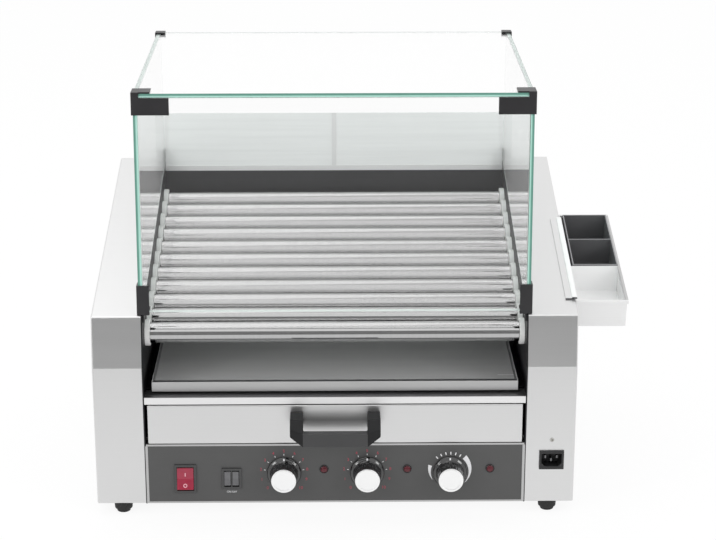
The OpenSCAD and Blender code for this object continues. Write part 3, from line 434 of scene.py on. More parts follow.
def block(low, high):
    """Six faces of a box between two corners in metres."""
    points = np.array(np.meshgrid(*zip(low, high), indexing="ij")).reshape(3, -1).T
    return points, [(0, 1, 3, 2), (4, 6, 7, 5), (0, 4, 5, 1), (2, 3, 7, 6), (0, 2, 6, 4), (1, 5, 7, 3)]


print("a turned ring of 2 rows has", len(quads(2, 64, True)), "cells")

# %% Tools for new pieces
MERGE = 0.002 * MM


def settle(name, mesh, body, replaced=()):
    """Puts a finished mesh into the scene, hangs it on the body it rides on and hides the solids it stands
    for.
    """
    made = bpy.data.objects.new(name, mesh)
    bpy.context.scene.collection.objects.link(made)
    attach(made, body)
    if replaced:
        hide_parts(*replaced)
    return made


def piece(name, parts, materials, body, replaced=(), crease=38, axis=None, solid=True):
    """One object made of (points, cells, material number) surfaces, riding on a body.
    solid joins points that meet and turns the faces outwards; axis = (point, direction) stores each
    point's distance from that line as the attribute radius_mm."""
    mesh = bpy.data.meshes.new(name)
    starts = np.cumsum([0] + [len(points) for points, _, _ in parts])
    cells = [[int(i) + int(start) for i in cell]
             for (_, faces, _), start in zip(parts, starts) for cell in faces]
    mesh.from_pydata(np.concatenate([points for points, _, _ in parts]).tolist(), [], cells)
    finishes = np.repeat([number for _, _, number in parts], [len(faces) for _, faces, _ in parts])
    mesh.polygons.foreach_set("material_index", finishes)
    for material in materials:
        mesh.materials.append(material)
    if solid:
        shell = bmesh.new()
        shell.from_mesh(mesh)
        bmesh.ops.remove_doubles(shell, verts=shell.verts, dist=MERGE)
        bmesh.ops.recalc_face_normals(shell, faces=shell.faces)
        shell.to_mesh(mesh)
        shell.free()
    mesh.shade_smooth()
    mesh.set_sharp_from_angle(angle=math.radians(crease))
    if axis is not None:
        points = np.empty(len(mesh.vertices) * 3)
        mesh.vertices.foreach_get("co", points)
        away = np.cross(points.reshape(-1, 3) - np.array(axis[0]), np.array(axis[1], float))
        distance = (np.linalg.norm(away, axis=1) / MM).astype(np.float32)
        mesh.attributes.new("radius_mm", "FLOAT", "POINT").data.foreach_set("value", distance)
    return settle(name, mesh, body, replaced)


print("tools for new pieces ready, points nearer than", MERGE / MM, "mm are joined")

# %% [markdown]
# A folded or moulded part that is already right as a solid only needs its edges eased. It could be modelled
# anew, but a merged copy of the solid with a Bevel keeps every hole and fold where it is. The bevel's
# weight is small on the thin rims of the sheet and in hollow corners, where a wide one would spill.

# %% Tools for eased solids
FLAT_ANGLE, EDGE_ANGLE, SHADE_ANGLE = (math.radians(degrees) for degrees in (1, 25, 30))
NARROW_FACE = 3 * MM


def merged(node_name):
    """A solid's triangles joined at their points, without the lines across flat faces, to be edited."""
    shell = bmesh.new()
    shell.from_mesh(frame["nodes"][node_name].data)
    bmesh.ops.remove_doubles(shell, verts=shell.verts, dist=MERGE)
    bmesh.ops.dissolve_limit(shell, angle_limit=FLAT_ANGLE, verts=shell.verts, edges=shell.edges)
    return shell


def solids_of(node_name):
    """Boxes (low, high) of the separate solids in a node: points are grown into groups along their edges."""
    shell = merged(node_name)
    waiting, boxes = set(shell.verts), []
    while waiting:
        group, growing = set(), [waiting.pop()]
        while growing:
            point = growing.pop()
            group.add(point)
            fresh = {edge.other_vert(point) for edge in point.link_edges} & waiting
            waiting -= fresh
            growing.extend(fresh)
        places = np.array([point.co for point in group])
        boxes.append((places.min(axis=0), places.max(axis=0)))
    shell.free()
    return sorted(boxes, key=lambda box: box[0].tolist())


def eased_copy(name, node_name, radius, material, slot, rim=0.35, bevel_steps=3):
    """A node's solid with sharp edges rounded to radius (mm), or to rim at narrow faces and in hollows."""
    shell = merged(node_name)
    weight = shell.edges.layers.float.new("bevel_weight_edge")
    width = {face: 2 * face.calc_area() / face.calc_perimeter() for face in shell.faces}
    for edge in shell.edges:
        if len(edge.link_faces) == 2 and edge.calc_face_angle() > EDGE_ANGLE:
            narrow = min(width[face] for face in edge.link_faces) < NARROW_FACE
            hollow = edge.calc_face_angle_signed() < 0
            edge[weight] = rim / radius if narrow or hollow else 1.0
    mesh = bpy.data.meshes.new(name)
    shell.to_mesh(mesh)
    shell.free()
    mesh.materials.append(material)
    mesh.shade_smooth()
    mesh.set_sharp_from_angle(angle=SHADE_ANGLE)
    made = settle(name, mesh, frame["nodes"][node_name]["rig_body"], (node_name,))
    bevel = made.modifiers.new("eased edges", "BEVEL")
    bevel.limit_method = "WEIGHT"
    bevel.width = radius * MM
    bevel.segments = bevel_steps
    bevel.harden_normals = True


def refinish(name, material, chosen):
    """Gives a further material to the faces of a piece that chosen(centres, normals) picks, in metres."""
    mesh = bpy.data.objects[name].data
    count = len(mesh.polygons)
    centres, normals, index = np.empty(count * 3), np.empty(count * 3), np.zeros(count, int)
    for key, values in (("center", centres), ("normal", normals), ("material_index", index)):
        mesh.polygons.foreach_get(key, values)
    mesh.materials.append(material)
    index[chosen(centres.reshape(-1, 3), normals.reshape(-1, 3))] = len(mesh.materials) - 1
    mesh.polygons.foreach_set("material_index", index)


print("tools for eased solids ready, faces under", NARROW_FACE / MM, "mm count as rims")

# %% [markdown]
# The camera stands where the photographer stood: about 2.2 m in front of the machine, a metre above the
# table, looking down by 18 degrees through a long lens. It could be placed by eye, but a fit of the casing,
# deck and hood corners gives its numbers more surely.

# %% Camera
CAMERA_PLACE = (-0.033, -2.414, 1.050)
CAMERA_PITCH, CAMERA_YAW = 18.31, 0.73
FOCAL_PIXELS, PICTURE_WIDTH, SENSOR_WIDTH = 2000, 716, 36.0
camera_data = bpy.data.cameras.new("camera")
camera_data.sensor_width = SENSOR_WIDTH
camera_data.lens = SENSOR_WIDTH * FOCAL_PIXELS / PICTURE_WIDTH
camera = bpy.data.objects.new("camera", camera_data)
camera.location = CAMERA_PLACE
camera.rotation_euler = (math.radians(90 - CAMERA_PITCH), 0, math.radians(-CAMERA_YAW))
bpy.context.scene.collection.objects.link(camera)
bpy.context.scene.camera = camera
print("lens", round(camera_data.lens, 2), "mm")

# %% [markdown]
# The studio is a white floor under a white sky, with one large soft lamp overhead, one above the camera and
# one on each side. Steel shows what is around it, so grey cards stand behind the camera and lie on the
# floor in front: the band that leans back above each casing front looks straight at them, and so do the
# lower halves of the rollers. A darker sky could do the same, but it would take light from the machine,
# which the cards don't. For the picture, and for metal and glass, most of the floor's light is its own,
# which softens its shadows.

# %% Floor and cards
FLOOR_HALF, FLOOR_GLOW, PAINT_WIDE = 7.0, 0.88, 500 * MM
CARD_HALF, CARD_Y, CARD_TOP, CARD_FRONT, CARD_LIFT = 4.0, -3.4, 1.75, -1.1, 0.004


def studio_plane(name, half, near, far, material):
    """A flat stage piece from x = -half to half, between two edges given as (y, z)."""
    mesh = bpy.data.meshes.new(name)
    mesh.from_pydata([(-half, *near), (half, *near), (half, *far), (-half, *far)], [], [range(4)])
    mesh.materials.append(material)
    made = bpy.data.objects.new(name, mesh)
    bpy.context.scene.collection.objects.link(made)
    made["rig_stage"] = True
    return made


def matte(name, colour, pale):
    """Matte paint for the stage: the eye sees an even tone with a slight mottle and no highlight."""
    made, tree = new_material(name)
    place = node(tree, "TexCoord").outputs["Object"]
    mottle = node(tree, "TexNoise", {"Vector": place, "Scale": 1 / PAINT_WIDE})
    tone = node(tree, "Mix", {
        FACTOR: mottle, COLOUR_A: linear(colour), COLOUR_B: linear(pale)}, data_type="RGBA")
    return shaded(made, {
        "Base Color": tone.outputs[COLOUR_OUT], "Roughness": 0.9, "Specular IOR Level": 0.0})


def seen_rays(tree):
    """1 for rays that show the surroundings: from the camera, from shiny surfaces and through glass."""
    ray = node(tree, "LightPath").outputs
    shown = ray["Is Camera Ray"]
    for kind in ("Is Glossy Ray", "Is Transmission Ray"):
        shown = node(tree, "Math", {0: shown, 1: ray[kind]}, operation="MAXIMUM")
    return shown


white_floor = matte("white floor", "#FDFDFD", "#FFFFFF")
paint = white_floor.node_tree
glow = node(paint, "Emission", {"Color": linear("#FFFFFF"), "Strength": 1.0})
share = node(paint, "Math", {0: seen_rays(paint), 1: FLOOR_GLOW}, operation="MULTIPLY")
mixed = node(paint, "MixShader", {0: share, 1: paint.nodes["Principled BSDF"], 2: glow})
paint.links.new(mixed.outputs[0], paint.nodes["Material Output"].inputs["Surface"])
studio_plane("floor", FLOOR_HALF, (-FLOOR_HALF, 0), (FLOOR_HALF, 0), white_floor)
for name, edge, colour in (("card behind the camera", (CARD_Y, CARD_TOP), "#9C9C9C"),
                           ("card on the floor", (CARD_FRONT, CARD_LIFT), "#8E8E8E")):
    card = studio_plane(name, CARD_HALF, (CARD_Y, CARD_LIFT), edge, matte(name, colour, colour))
    card.visible_camera = card.visible_diffuse = card.visible_transmission = card.visible_shadow = False
print("stage: a floor", 2 * FLOOR_HALF, "m wide and two cards")

# %% Lamps and sky
# Name, place and target in metres, width and height in metres, power in watts
LAMPS = [
    ("overhead softbox", (-0.5, 0.45, 2.4), (0, 0.2, 0.3), (2.4, 1.6), 8),
    ("front softbox", (0.0, -2.1, 2.3), (0, 0.0, 0.2), (3.6, 2.0), 5),
    ("left softbox", (-1.5, -1.5, 0.9), (0, 0, 0.2), (0.4, 0.7), 5),
    ("right softbox", (1.5, -1.5, 0.9), (0, 0, 0.2), (0.4, 0.7), 5),
]
SKY_LIGHT, SKY_SHOWN = 0.9, 1.0
for name, place, target, size, power in LAMPS:
    softbox = bpy.data.lights.new(name, "AREA")
    softbox.shape = "RECTANGLE"
    softbox.size, softbox.size_y = size
    softbox.energy = power
    lamp = bpy.data.objects.new(name, softbox)
    lamp.location = place
    lamp.rotation_euler = (Vector(place) - Vector(target)).to_track_quat("Z", "Y").to_euler()
    lamp.visible_camera = False
    bpy.context.scene.collection.objects.link(lamp)
world = bpy.data.worlds.new("white studio")
world.use_nodes = True
bpy.context.scene.world = world
sky = world.node_tree
sky.nodes.clear()
strength = node(sky, "MapRange", {"Value": seen_rays(sky), "To Min": SKY_LIGHT, "To Max": SKY_SHOWN})
backdrop = node(sky, "Background", {"Color": linear("#FFFFFF"), "Strength": strength})
node(sky, "OutputWorld", {"Surface": backdrop})
bpy.context.scene.view_settings.view_transform = "Standard"
print("lamps:", len(LAMPS), "under a white sky")

# %% [markdown]
# Solids whose shape is already right keep their meshes and only take a finish: the tubes, the plain plates
# and what is inside. Their edges are too small or too hidden to be worth a rounded copy.

# %% Finish the solids that stay
STAYING = {
    stainless: ["base_pan", "drawer_shelf", "drawer_runners", "drawer_box", "heater_brackets",
                "motor_bracket"],
    # Painted shade: the well's back, the side plates and the ledges are near black as the shade under the
    # deck
    near_black_shade_steel: ["well_back", "left_side_plate", "right_side_plate", "tray_ledges"],
    roller_steel: [f"roller_{i:02d}" for i in range(1, 12)],
    bright_steel: ["tray_studs"],
    oiled_iron: ["drive_motor", "drive_chain", "drive_sprocket"],
    heater_sheath: ["heating_rods", "drawer_heater"],
    black_abs: ["thermostats"],
}
for finish, names in STAYING.items():
    for name in names:
        frame["nodes"][name].material_slots[0].material = finish
print("solids that stay:", sum(map(len, STAYING.values())))

# %% [markdown]
# The folded sheet parts are bent on a press brake, which leaves a round of about the sheet's own thickness
# at each bend, and their cut rims are broken with a file. The mouldings have rounder edges. These pieces
# are the solids themselves with those edges eased. Some faces of a part take another finish, and most of
# these are painted light or shade: the blades deep in the inlet, the sides of the drip tray and the top of
# the front rail are darkened as painted shade, and the top of the bin's rim is painted paler as its sheen.
# A part could be cut up for that, but it stays whole when its faces are picked by their place and
# direction.

# %% Folded and moulded parts
# Name of the piece, its solid, the round of its edges in mm, its finish and its slot
EASED = [
    ("left_casing_shell", "left_casing", 2.0, stainless, "stainless"),
    ("right_casing_shell", "right_casing", 2.0, stainless, "stainless"),
    ("rear_cover_sheet", "rear_cover", 0.4, stainless, "stainless"),
    ("rear_guard_sheets", "rear_guard", 0.4, guard_steel, "stainless"),
    ("front_rail_angle", "front_rail", 0.5, tray_steel, "stainless"),
    ("drawer_front_panel", "drawer_front", 1.6, stainless, "stainless"),
    ("drip_tray_pan", "drip_tray", 0.5, drip_steel, "dark_steel"),
    ("side_tray_pan", "side_tray", 0.4, tinned, "stainless"),
    ("tray_bin_moulding", "tray_bin", 0.7, bin_abs, "black_plastic"),
    ("control_panel_plate", "control_panel", 0.4, panel_film, "panel"),
    ("roller_bush_flanges", "roller_bushes", 1.4, white_bush, "white_plastic"),
    ("hood_corner_clips", "hood_clips", 0.7, clip_abs, "black_plastic"),
    ("power_switch_bezel", "power_switch_body", 1.2, knob_abs, "black_plastic"),
    ("twin_switch_bezel", "twin_switch_body", 1.0, knob_abs, "black_plastic"),
    ("power_rocker_key", "power_rocker", 0.9, red_rocker, "red_plastic"),
    ("twin_rocker_left_key", "twin_rocker_left", 0.7, grey_rocker, "grey_plastic"),
    ("twin_rocker_right_key", "twin_rocker_right", 0.7, grey_rocker, "grey_plastic"),
    ("mains_inlet_moulding", "mains_inlet", 0.8, black_abs, "black_plastic"),
]
for row in EASED:
    eased_copy(*row)
print("eased parts:", len(EASED))

# %% Faces with another finish
FACING, FACING_UP = 0.7, 0.9
FRONT_WALL = 13 * MM
# Half width and half height of the hollow of the inlet, and the depths between which its blades stand
INLET_WIDE, INLET_HIGH, BLADE_FRONT, BLADE_BACK = 10 * MM, 5 * MM, 3 * MM, 13 * MM
inlet = on_face("mains_inlet")
tray_low, tray_high = box_of("side_tray")
tray_middle, bin_middle = middle("side_tray"), middle("tray_bin")
# Name of the piece, the finish of the faces, and which faces those are
REFINISHED = [
    # Painted shade: the blades stand deep in the inlet's hollow, so they are given dark steel
    ("mains_inlet_moulding", dark_steel, lambda at, facing: (
        (np.abs(at - inlet)[:, [0, 2]] < [INLET_WIDE, INLET_HIGH]).all(axis=1)
        & (at[:, 1] > PANEL_FACE + BLADE_FRONT) & (at[:, 1] < PANEL_FACE + BLADE_BACK))),
    ("drip_tray_pan", rolled_steel, lambda at, facing: (
        (facing[:, 1] < -FACING) & (at[:, 1] < PANEL_FACE + FRONT_WALL))),
    # Painted shade: the side walls of the drip tray are darkened because they lie in shade
    ("drip_tray_pan", dark_steel, lambda at, facing: np.abs(facing[:, 0]) > FACING),
    # Painted shade: the rail's top is darkened as the shadow in the gap before the drip tray
    ("front_rail_angle", dark_steel, lambda at, facing: facing[:, 2] > FACING),
    ("side_tray_pan", tray_steel, lambda at, facing: (
        (facing[:, 1] < -FACING) & (at[:, 1] < tray_low[1] + FRONT_WALL))),
    ("side_tray_pan", drip_steel, lambda at, facing: (facing[:, 0] < -FACING) & (at[:, 0] > tray_middle[0])),
    # Painted sheen: the upward faces of the bin's rim
    ("tray_bin_moulding", bin_rim, lambda at, facing: (
        (facing[:, 2] > FACING_UP) & (at[:, 2] > bin_middle[2]))),
]
for row in REFINISHED:
    refinish(*row)
print("groups of faces with another finish:", len(REFINISHED))

# %% [markdown]
# The drawer front has a lip folded up at its top edge and down at its lower one, so that the joints around
# it look narrow: the lips are the front's own edges, moved a little outwards. The dark film of the panel
# below it leaves a rim of bare steel: a strip folded back at the top, narrow ones at the bottom and at
# both ends. Behind the top of the drip tray's front wall lies a narrow lip of dark steel, which paints the
# shade along that rim. These folds could be bent from the sheet, but they are so thin that flat bars show
# the same edges.

# %% Drawer lips, panel rim and the painted shade lip of the drip tray
TOP_LIP, LOW_LIP, STRIP_HEIGHT, STRIP_DEPTH = 1.7 * MM, 0.3 * MM, 2.3 * MM, 6 * MM
RIM_WIDE, RIM_OVER, RIM_PROUD = 2.2 * MM, 0.8 * MM, 0.2 * MM
LIP_DEEP, LIP_SHEET, LIP_SINK = 7 * MM, 0.8 * MM, 0.1 * MM
drawer_mesh = bpy.data.objects["drawer_front_panel"].data
places = np.empty(len(drawer_mesh.vertices) * 3)
drawer_mesh.vertices.foreach_get("co", places)
upright = places.reshape(-1, 3)[:, 2]
upright += np.where(upright > middle("drawer_front")[2], TOP_LIP, -LOW_LIP)
drawer_mesh.vertices.foreach_set("co", places)
top_strip = block((panel_low[0], PANEL_FACE, panel_high[2]),
                  (panel_high[0], PANEL_FACE + STRIP_DEPTH, panel_high[2] + STRIP_HEIGHT))
rim_front = PANEL_FACE - RIM_PROUD
rims = [block((left, rim_front, panel_low[2]), (right, PANEL_FACE + RIM_OVER, top)) for left, right, top in (
    (panel_low[0] - RIM_OVER, panel_low[0] + RIM_WIDE, panel_high[2]),
    (panel_high[0] - RIM_WIDE, panel_high[0] + RIM_OVER, panel_high[2]),
    (panel_low[0] + RIM_WIDE, panel_high[0] - RIM_WIDE, panel_low[2] + RIM_WIDE))]
piece("panel_steel_rim", [(*bar, 0) for bar in [top_strip, *rims]], [rolled_steel], "body")
pan_low, pan_high = box_of("drip_tray")
# Painted shade: this dark steel lip darkens the top of the tray's front wall
pan_shade_lip = block((pan_low[0] + LIP_SHEET, pan_low[1] + LIP_SHEET, pan_high[2] - LIP_SHEET),
                (pan_high[0] - LIP_SHEET, pan_low[1] + LIP_DEEP, pan_high[2] - LIP_SINK))
piece("drip_tray_shade_lip", [(*pan_shade_lip, 0)], [dark_steel], "drip_tray")
print("lips of", round(TOP_LIP / MM, 1), "and", round(LOW_LIP / MM, 1), "mm; rim of", len(rims) + 1, "bars")

# %% [markdown]
# The rear guard is two sheets side by side. A flat strip is spot-welded over their joint, and the lower
# edge of each is folded forward into a hem. The hem's steel is darker than the sheet: painted shade along
# the guard's foot. Lines in the guard's finish could stand for them, but thin bars catch the light from any
# side.

# %% Strips of the rear guard
JOINT_WIDE, HEM_HIGH, GUARD_STRIP = 6.0 * MM, 7.0 * MM, 0.8 * MM
guard_low, guard_high = box_of("rear_guard")
guard_middle = (guard_low[0] + guard_high[0]) / 2
half_guard = (panel_high[0] - panel_low[0]) / 2
guard_front = guard_low[1] - GUARD_STRIP
well_top = box_of("well_back")[1][2]
joint = block((guard_middle - JOINT_WIDE / 2, guard_front, well_top + HEM_HIGH),
              (guard_middle + JOINT_WIDE / 2, guard_low[1], guard_high[2]))
# Painted shade: the hem's darker steel darkens the foot of the guard
hem = block((guard_middle - half_guard, guard_front, well_top),
            (guard_middle + half_guard, guard_low[1], well_top + HEM_HIGH))
piece("rear_guard_strips", [(*joint, 0), (*hem, 0)], [tray_steel], "body")
print("guard strips at Y", round(guard_front / MM, 1), "mm")

# %% [markdown]
# The side tray hangs on the casing by a hemmed hook: its wall goes up past the casing's top edge and is
# rolled over it. The hook is a flat flange on the casing with a rolled edge beside it, a flat oval; the ends
# of both are closed with dark steel, which paints the shade inside the open roll. The tray's other rims are
# folded over once for stiffness, so they look thicker than the sheet. One sheet could be bent into all
# this; sections carried along the slope of the casing top are simpler, and each keeps its own finish.

# %% Hook of the side tray
# Sizes in mm; starts are counted up the slope from the tray's front corner
HOOK_WIDE, HOOK_SHEET, HOOK_CLEAR, HOOK_START, HOOK_LENGTH = 14.0, 1.6, 0.3, -9.0, 196.0
ROLL_WIDE, ROLL_THICK, ROLL_POWER, ROLL_SIDES = 6.5, 3.2, 0.5, 32
WEB_THICK, WEB_DROP, WEB_RISE = 1.2, 9.0, 1.0
HEM_OUT, HEM_IN, HEM_RISE, HEM_DROP = 1.5, 1.6, 0.3, 4.0
ALONG_SLOPE = np.array([0, math.cos(SLOPE), math.sin(SLOPE)])
ABOVE_SLOPE = np.array([0, -math.sin(SLOPE), math.cos(SLOPE)])
casing_top = box_of("right_casing")[1]
hook_foot = np.array([*tray_low[:2], casing_top[2] - (casing_top[1] - tray_low[1]) * math.tan(SLOPE)])


def slope_bar(section, foot, start, length):
    """Closed section of (across, above the slope) points in mm carried up the slope: points, sides, ends."""
    section = np.array(section, float)
    ring = foot + MM * (section[:, :1] * [1, 0, 0] + section[:, 1:] * ABOVE_SLOPE + start * ALONG_SLOPE)
    count = len(section)
    return (np.vstack([ring, ring + MM * length * ALONG_SLOPE]), quads(2, count, True),
            [range(count), range(count, 2 * count)])


def rectangle(left, right, low, high):
    """Section of a flat bar."""
    return [(left, low), (right, low), (right, high), (left, high)]


# The flat oval is a circle whose cosine and sine are raised to a power below 1, which squares its corners
turn = np.linspace(0, 2 * math.pi, ROLL_SIDES, endpoint=False)
round_x, round_z = (np.sign(wave) * np.abs(wave) ** ROLL_POWER for wave in (np.cos(turn), np.sin(turn)))
oval = np.column_stack([ROLL_WIDE / 2 * (round_x - 1), HOOK_CLEAR + ROLL_THICK / 2 * (round_z + 1)])
flange = rectangle(-HOOK_WIDE, -ROLL_WIDE / 2, HOOK_CLEAR, HOOK_CLEAR + HOOK_SHEET)
web = rectangle(-WEB_THICK, 0, -WEB_DROP, HOOK_CLEAR + WEB_RISE)
wide, deep, high = (tray_high - tray_low) / MM
long_side = (deep * math.cos(SLOPE) - high * math.sin(SLOPE)) / math.cos(2 * SLOPE)
rim_foot = np.array([*tray_low[:2], tray_high[2] - long_side * MM * math.sin(SLOPE)])
cross_hem = rectangle(0, wide + HEM_OUT, -HEM_DROP, HEM_RISE)
long_hem = rectangle(wide - HEM_IN, wide + HEM_OUT, -HEM_DROP, HEM_RISE)
HOOK_FINISHES = [tinned, dark_steel, tray_steel, stainless, rolled_steel]
# Section, foot, start and length along the slope, and the finishes of its sides and ends
BARS = [
    # Painted shade: the dark ends of the oval and of the flange
    (oval, hook_foot, HOOK_START, HOOK_LENGTH, tinned, dark_steel),
    (flange, hook_foot, HOOK_START, HOOK_LENGTH, stainless, dark_steel),
    (web, hook_foot, 0, HOOK_LENGTH + HOOK_START, tinned, tinned),
    (cross_hem, rim_foot, -HEM_OUT, HEM_OUT + HEM_IN, tray_steel, tray_steel),
    (cross_hem, rim_foot, long_side - HEM_IN, HEM_OUT + HEM_IN, tray_steel, tray_steel),
    (long_hem, rim_foot, HEM_IN, long_side - 2 * HEM_IN, rolled_steel, rolled_steel),
]
hook_parts = []
for *shape, side_finish, end_finish in BARS:
    points, sides, ends = slope_bar(*shape)
    hook_parts.append((points, sides, HOOK_FINISHES.index(side_finish)))
    hook_parts.append((points, ends, HOOK_FINISHES.index(end_finish)))
piece("side_tray_hook", hook_parts, HOOK_FINISHES, "side_tray")
print("hook and hems of the side tray:", len(BARS), "bars, rim", round(long_side, 1), "mm long")

# %% [markdown]
# The glass plates are the solids with a small flat arris ground along every edge, so a bevel of one step
# makes them. Only the edges that face the front are green to the eye; the others are ground and look
# frosted.

# %% Hood glass
ARRIS = 0.5
for name, edge, flat_axis in (("hood_top_glass", level_edge, 2), ("hood_front_glass", ground_edge, 1),
                              ("hood_side_glasses", upright_edge, 0)):
    pane = name.replace("glass", "pane")
    eased_copy(pane, name, ARRIS, clear_glass, "hood_glass", rim=ARRIS, bevel_steps=1)
    refinish(pane, ground_edge, lambda at, facing: np.abs(facing[:, flat_axis]) < FACING)
    if edge is not ground_edge:
        refinish(pane, edge, lambda at, facing: facing[:, 1] < -FACING)
print("glass panes made, arris", ARRIS, "mm")

# %% [markdown]
# A control knob is one phenolic moulding: a flared skirt, a grip with flutes for the fingers and a flat
# front that takes a spun metal cap. The flutes could be cut out one by one; a cosine wave on the radius,
# which dies out towards the skirt, gives the same grip with nothing to cut. Each knob also has one white
# line on its skirt, which points up at rest.

# %% Knobs and caps
FLUTES, FLUTE_DEPTH, FLUTE_FOOT, FLUTE_CROWN = 24, 0.035, 6.5, 9.0
# Heights above the panel: back of the knob, foot and top of the skirt's cone, foot of the grip
KNOB_BACK, CONE_FOOT, CONE_TOP, GRIP_FOOT = 1.0, 3.4, 5.0, 7.5
# Steps of the radius: rim and lean of the skirt; flare, taper and front edge of the grip; round of corners
SKIRT_RIM, SKIRT_LEAN, GRIP_FLARE, GRIP_TAPER, GRIP_EDGE, KNOB_ROUND = 0.6, 1.2, 1.6, 0.2, 1.2, 0.9
# The white line: width and lift, then its inner end, out from the grip, and its outer end, in from the rim
LINE_WIDE, LINE_LIFT = 1.8, 0.06
LINE_INNER, LINE_CROWN, LINE_OUTER, LINE_FOOT = 1.9, 4.9, 1.4, 3.5
CAP_MARGIN, CAP_EDGE, CAP_RIM, CAP_STEP, CAP_ROUND = 0.5, 0.8, 2.6, 0.4, 0.35
# Shares of the cap's thickness at its outer wall and at the middle of its dish
CAP_WALL, CAP_DISH = 0.7, 0.9
TO_FRONT = (0, -1, 0)


def flutes(angle, height):
    """Factor on the grip's radius: 1 - depth rise (0.5 + 0.5 cos(count angle))^2,
    where rise grows from 0 at the foot of the flutes to 1 at their crown."""
    rise = np.clip((height - FLUTE_FOOT) / (FLUTE_CROWN - FLUTE_FOOT), 0, 1)
    return 1 - FLUTE_DEPTH * rise * (0.5 + 0.5 * np.cos(FLUTES * angle)) ** 2


def skirt_line(place, inner, outer):
    """White line on the skirt: a strip between two (radius, height) points in mm, lifted off the skirt."""
    strip = [(x, -height - LINE_LIFT, radius) for radius, height in (inner, outer)
             for x in (-LINE_WIDE / 2, LINE_WIDE / 2)]
    return place + MM * np.array(strip), [(0, 2, 3, 1)]


for side, place in knob_places.items():
    low, high = box_of("knob_" + side) / MM
    cap_low, cap_high = box_of("knob_cap_" + side) / MM
    skirt, reach = (high[0] - low[0]) / 2, PANEL_FACE / MM - low[1]
    cap, front = (cap_high[0] - cap_low[0]) / 2, reach + cap_high[1] - cap_low[1]
    wall, dish = (reach + share * (front - reach) for share in (CAP_WALL, CAP_DISH))
    grip = cap + CAP_MARGIN
    profile = eased([
        (0, KNOB_BACK), (skirt - SKIRT_RIM, KNOB_BACK), (skirt, KNOB_BACK + SKIRT_RIM),
        (skirt - SKIRT_LEAN, CONE_FOOT), (grip + GRIP_FLARE, CONE_TOP), (grip + GRIP_TAPER, GRIP_FOOT),
        (grip - GRIP_TAPER, reach - GRIP_EDGE), (grip - GRIP_EDGE, reach), (0, reach)], KNOB_ROUND)
    line = skirt_line(place, (grip + LINE_INNER, LINE_CROWN), (skirt - LINE_OUTER, LINE_FOOT))
    piece(f"knob_{side}_moulding", [(*turned(profile, place, TO_FRONT, 192, flutes), 0), (*line, 1)],
          [knob_abs, white_ink], f"knob_{side}", (f"knob_{side}",))
    cap_profile = eased([
        (0, reach), (cap, reach), (cap, wall), (cap - CAP_EDGE, front), (cap - CAP_RIM, front),
        (cap - CAP_RIM - CAP_STEP, wall), (0, dish)], CAP_ROUND)
    piece(f"knob_{side}_cap", [(*turned(cap_profile, place, TO_FRONT, 96), 0)], [cap_metal],
          f"knob_{side}", (f"knob_cap_{side}",), axis=(place, TO_FRONT))
print("knobs:", len(knob_places), "skirt radius", round(skirt, 1), "mm")

# %% [markdown]
# An indicator lamp is a domed red lens in a thin black collar, pushed into a hole of the panel. The lens
# bulges less than the collar is wide, so a finger wipes it clean. Nothing about a lamp changes around its
# axis, so both are turned profiles, and the lens is a quarter of an ellipse.

# %% Indicator lamps
COLLAR_DEEP, COLLAR_TOP, COLLAR_WALL, COLLAR_ROUND = 1.0, 0.9, 1.2, 0.35
# Shares of the lamp's height: outer and inner edge of the collar, and the foot of the lens
COLLAR_OUTER, COLLAR_INNER, LENS_FOOT = 0.45, 0.55, 0.3
lamp_boxes = solids_of("indicator_lamps")
lamp_parts = []
for low, high in lamp_boxes:
    place = np.array([(low[0] + high[0]) / 2, PANEL_FACE, (low[2] + high[2]) / 2])
    collar, proud = (high[0] - low[0]) / 2 / MM, (PANEL_FACE - low[1]) / MM
    ring = eased([
        (collar, -COLLAR_DEEP), (collar, proud * COLLAR_OUTER),
        (collar - COLLAR_TOP, proud * COLLAR_INNER), (collar - COLLAR_WALL, -COLLAR_DEEP)], COLLAR_ROUND)
    bulge = np.linspace(0, math.pi / 2, 9)
    lens = np.column_stack([(collar - COLLAR_WALL) * np.cos(bulge),
                            proud * (LENS_FOOT + (1 - LENS_FOOT) * np.sin(bulge))])
    for finish, shape in enumerate((ring, lens)):
        lamp_parts.append((*turned(shape, place, TO_FRONT, 48), finish))
piece("indicator_lamp_lenses", lamp_parts, [knob_abs, red_lens], "body", ("indicator_lamps",))
print("lamps:", len(lamp_boxes))

# %% [markdown]
# The drawer's handle is a bow moulding: a leg comes out of the drawer at each end, leans down to the front
# and runs into the grip, whose ends are cut off at a slant. The grip between the legs is painted paler than
# the legs, as the sheen its face catches. A tube swept along the bow would be too round for it, so its left
# half is a few flat faces between named corners; the right half is their mirror image, and a Bevel rounds
# all edges like the mould does.

# %% Drawer handle
LEG_WIDE, LEG_SLANT, GRIP_THICK, GRIP_TOP, LEG_EDGE, SLANT_CUT = 15.5, 9.0, 11.0, 17.3, 23.0, 13.0
HANDLE_ROUND, HANDLE_EDGE, HANDLE_CREASE = 1.3 * MM, math.radians(12), 20
handle_low, handle_high = box_of("drawer_handle")
handle_foot = np.array([(handle_low[0] + handle_high[0]) / 2, handle_high[1], handle_low[2]])
half, reach, tall = (handle_high - handle_low) / MM * [0.5, 1, 1]
inner, back = half - LEG_WIDE, reach - GRIP_THICK
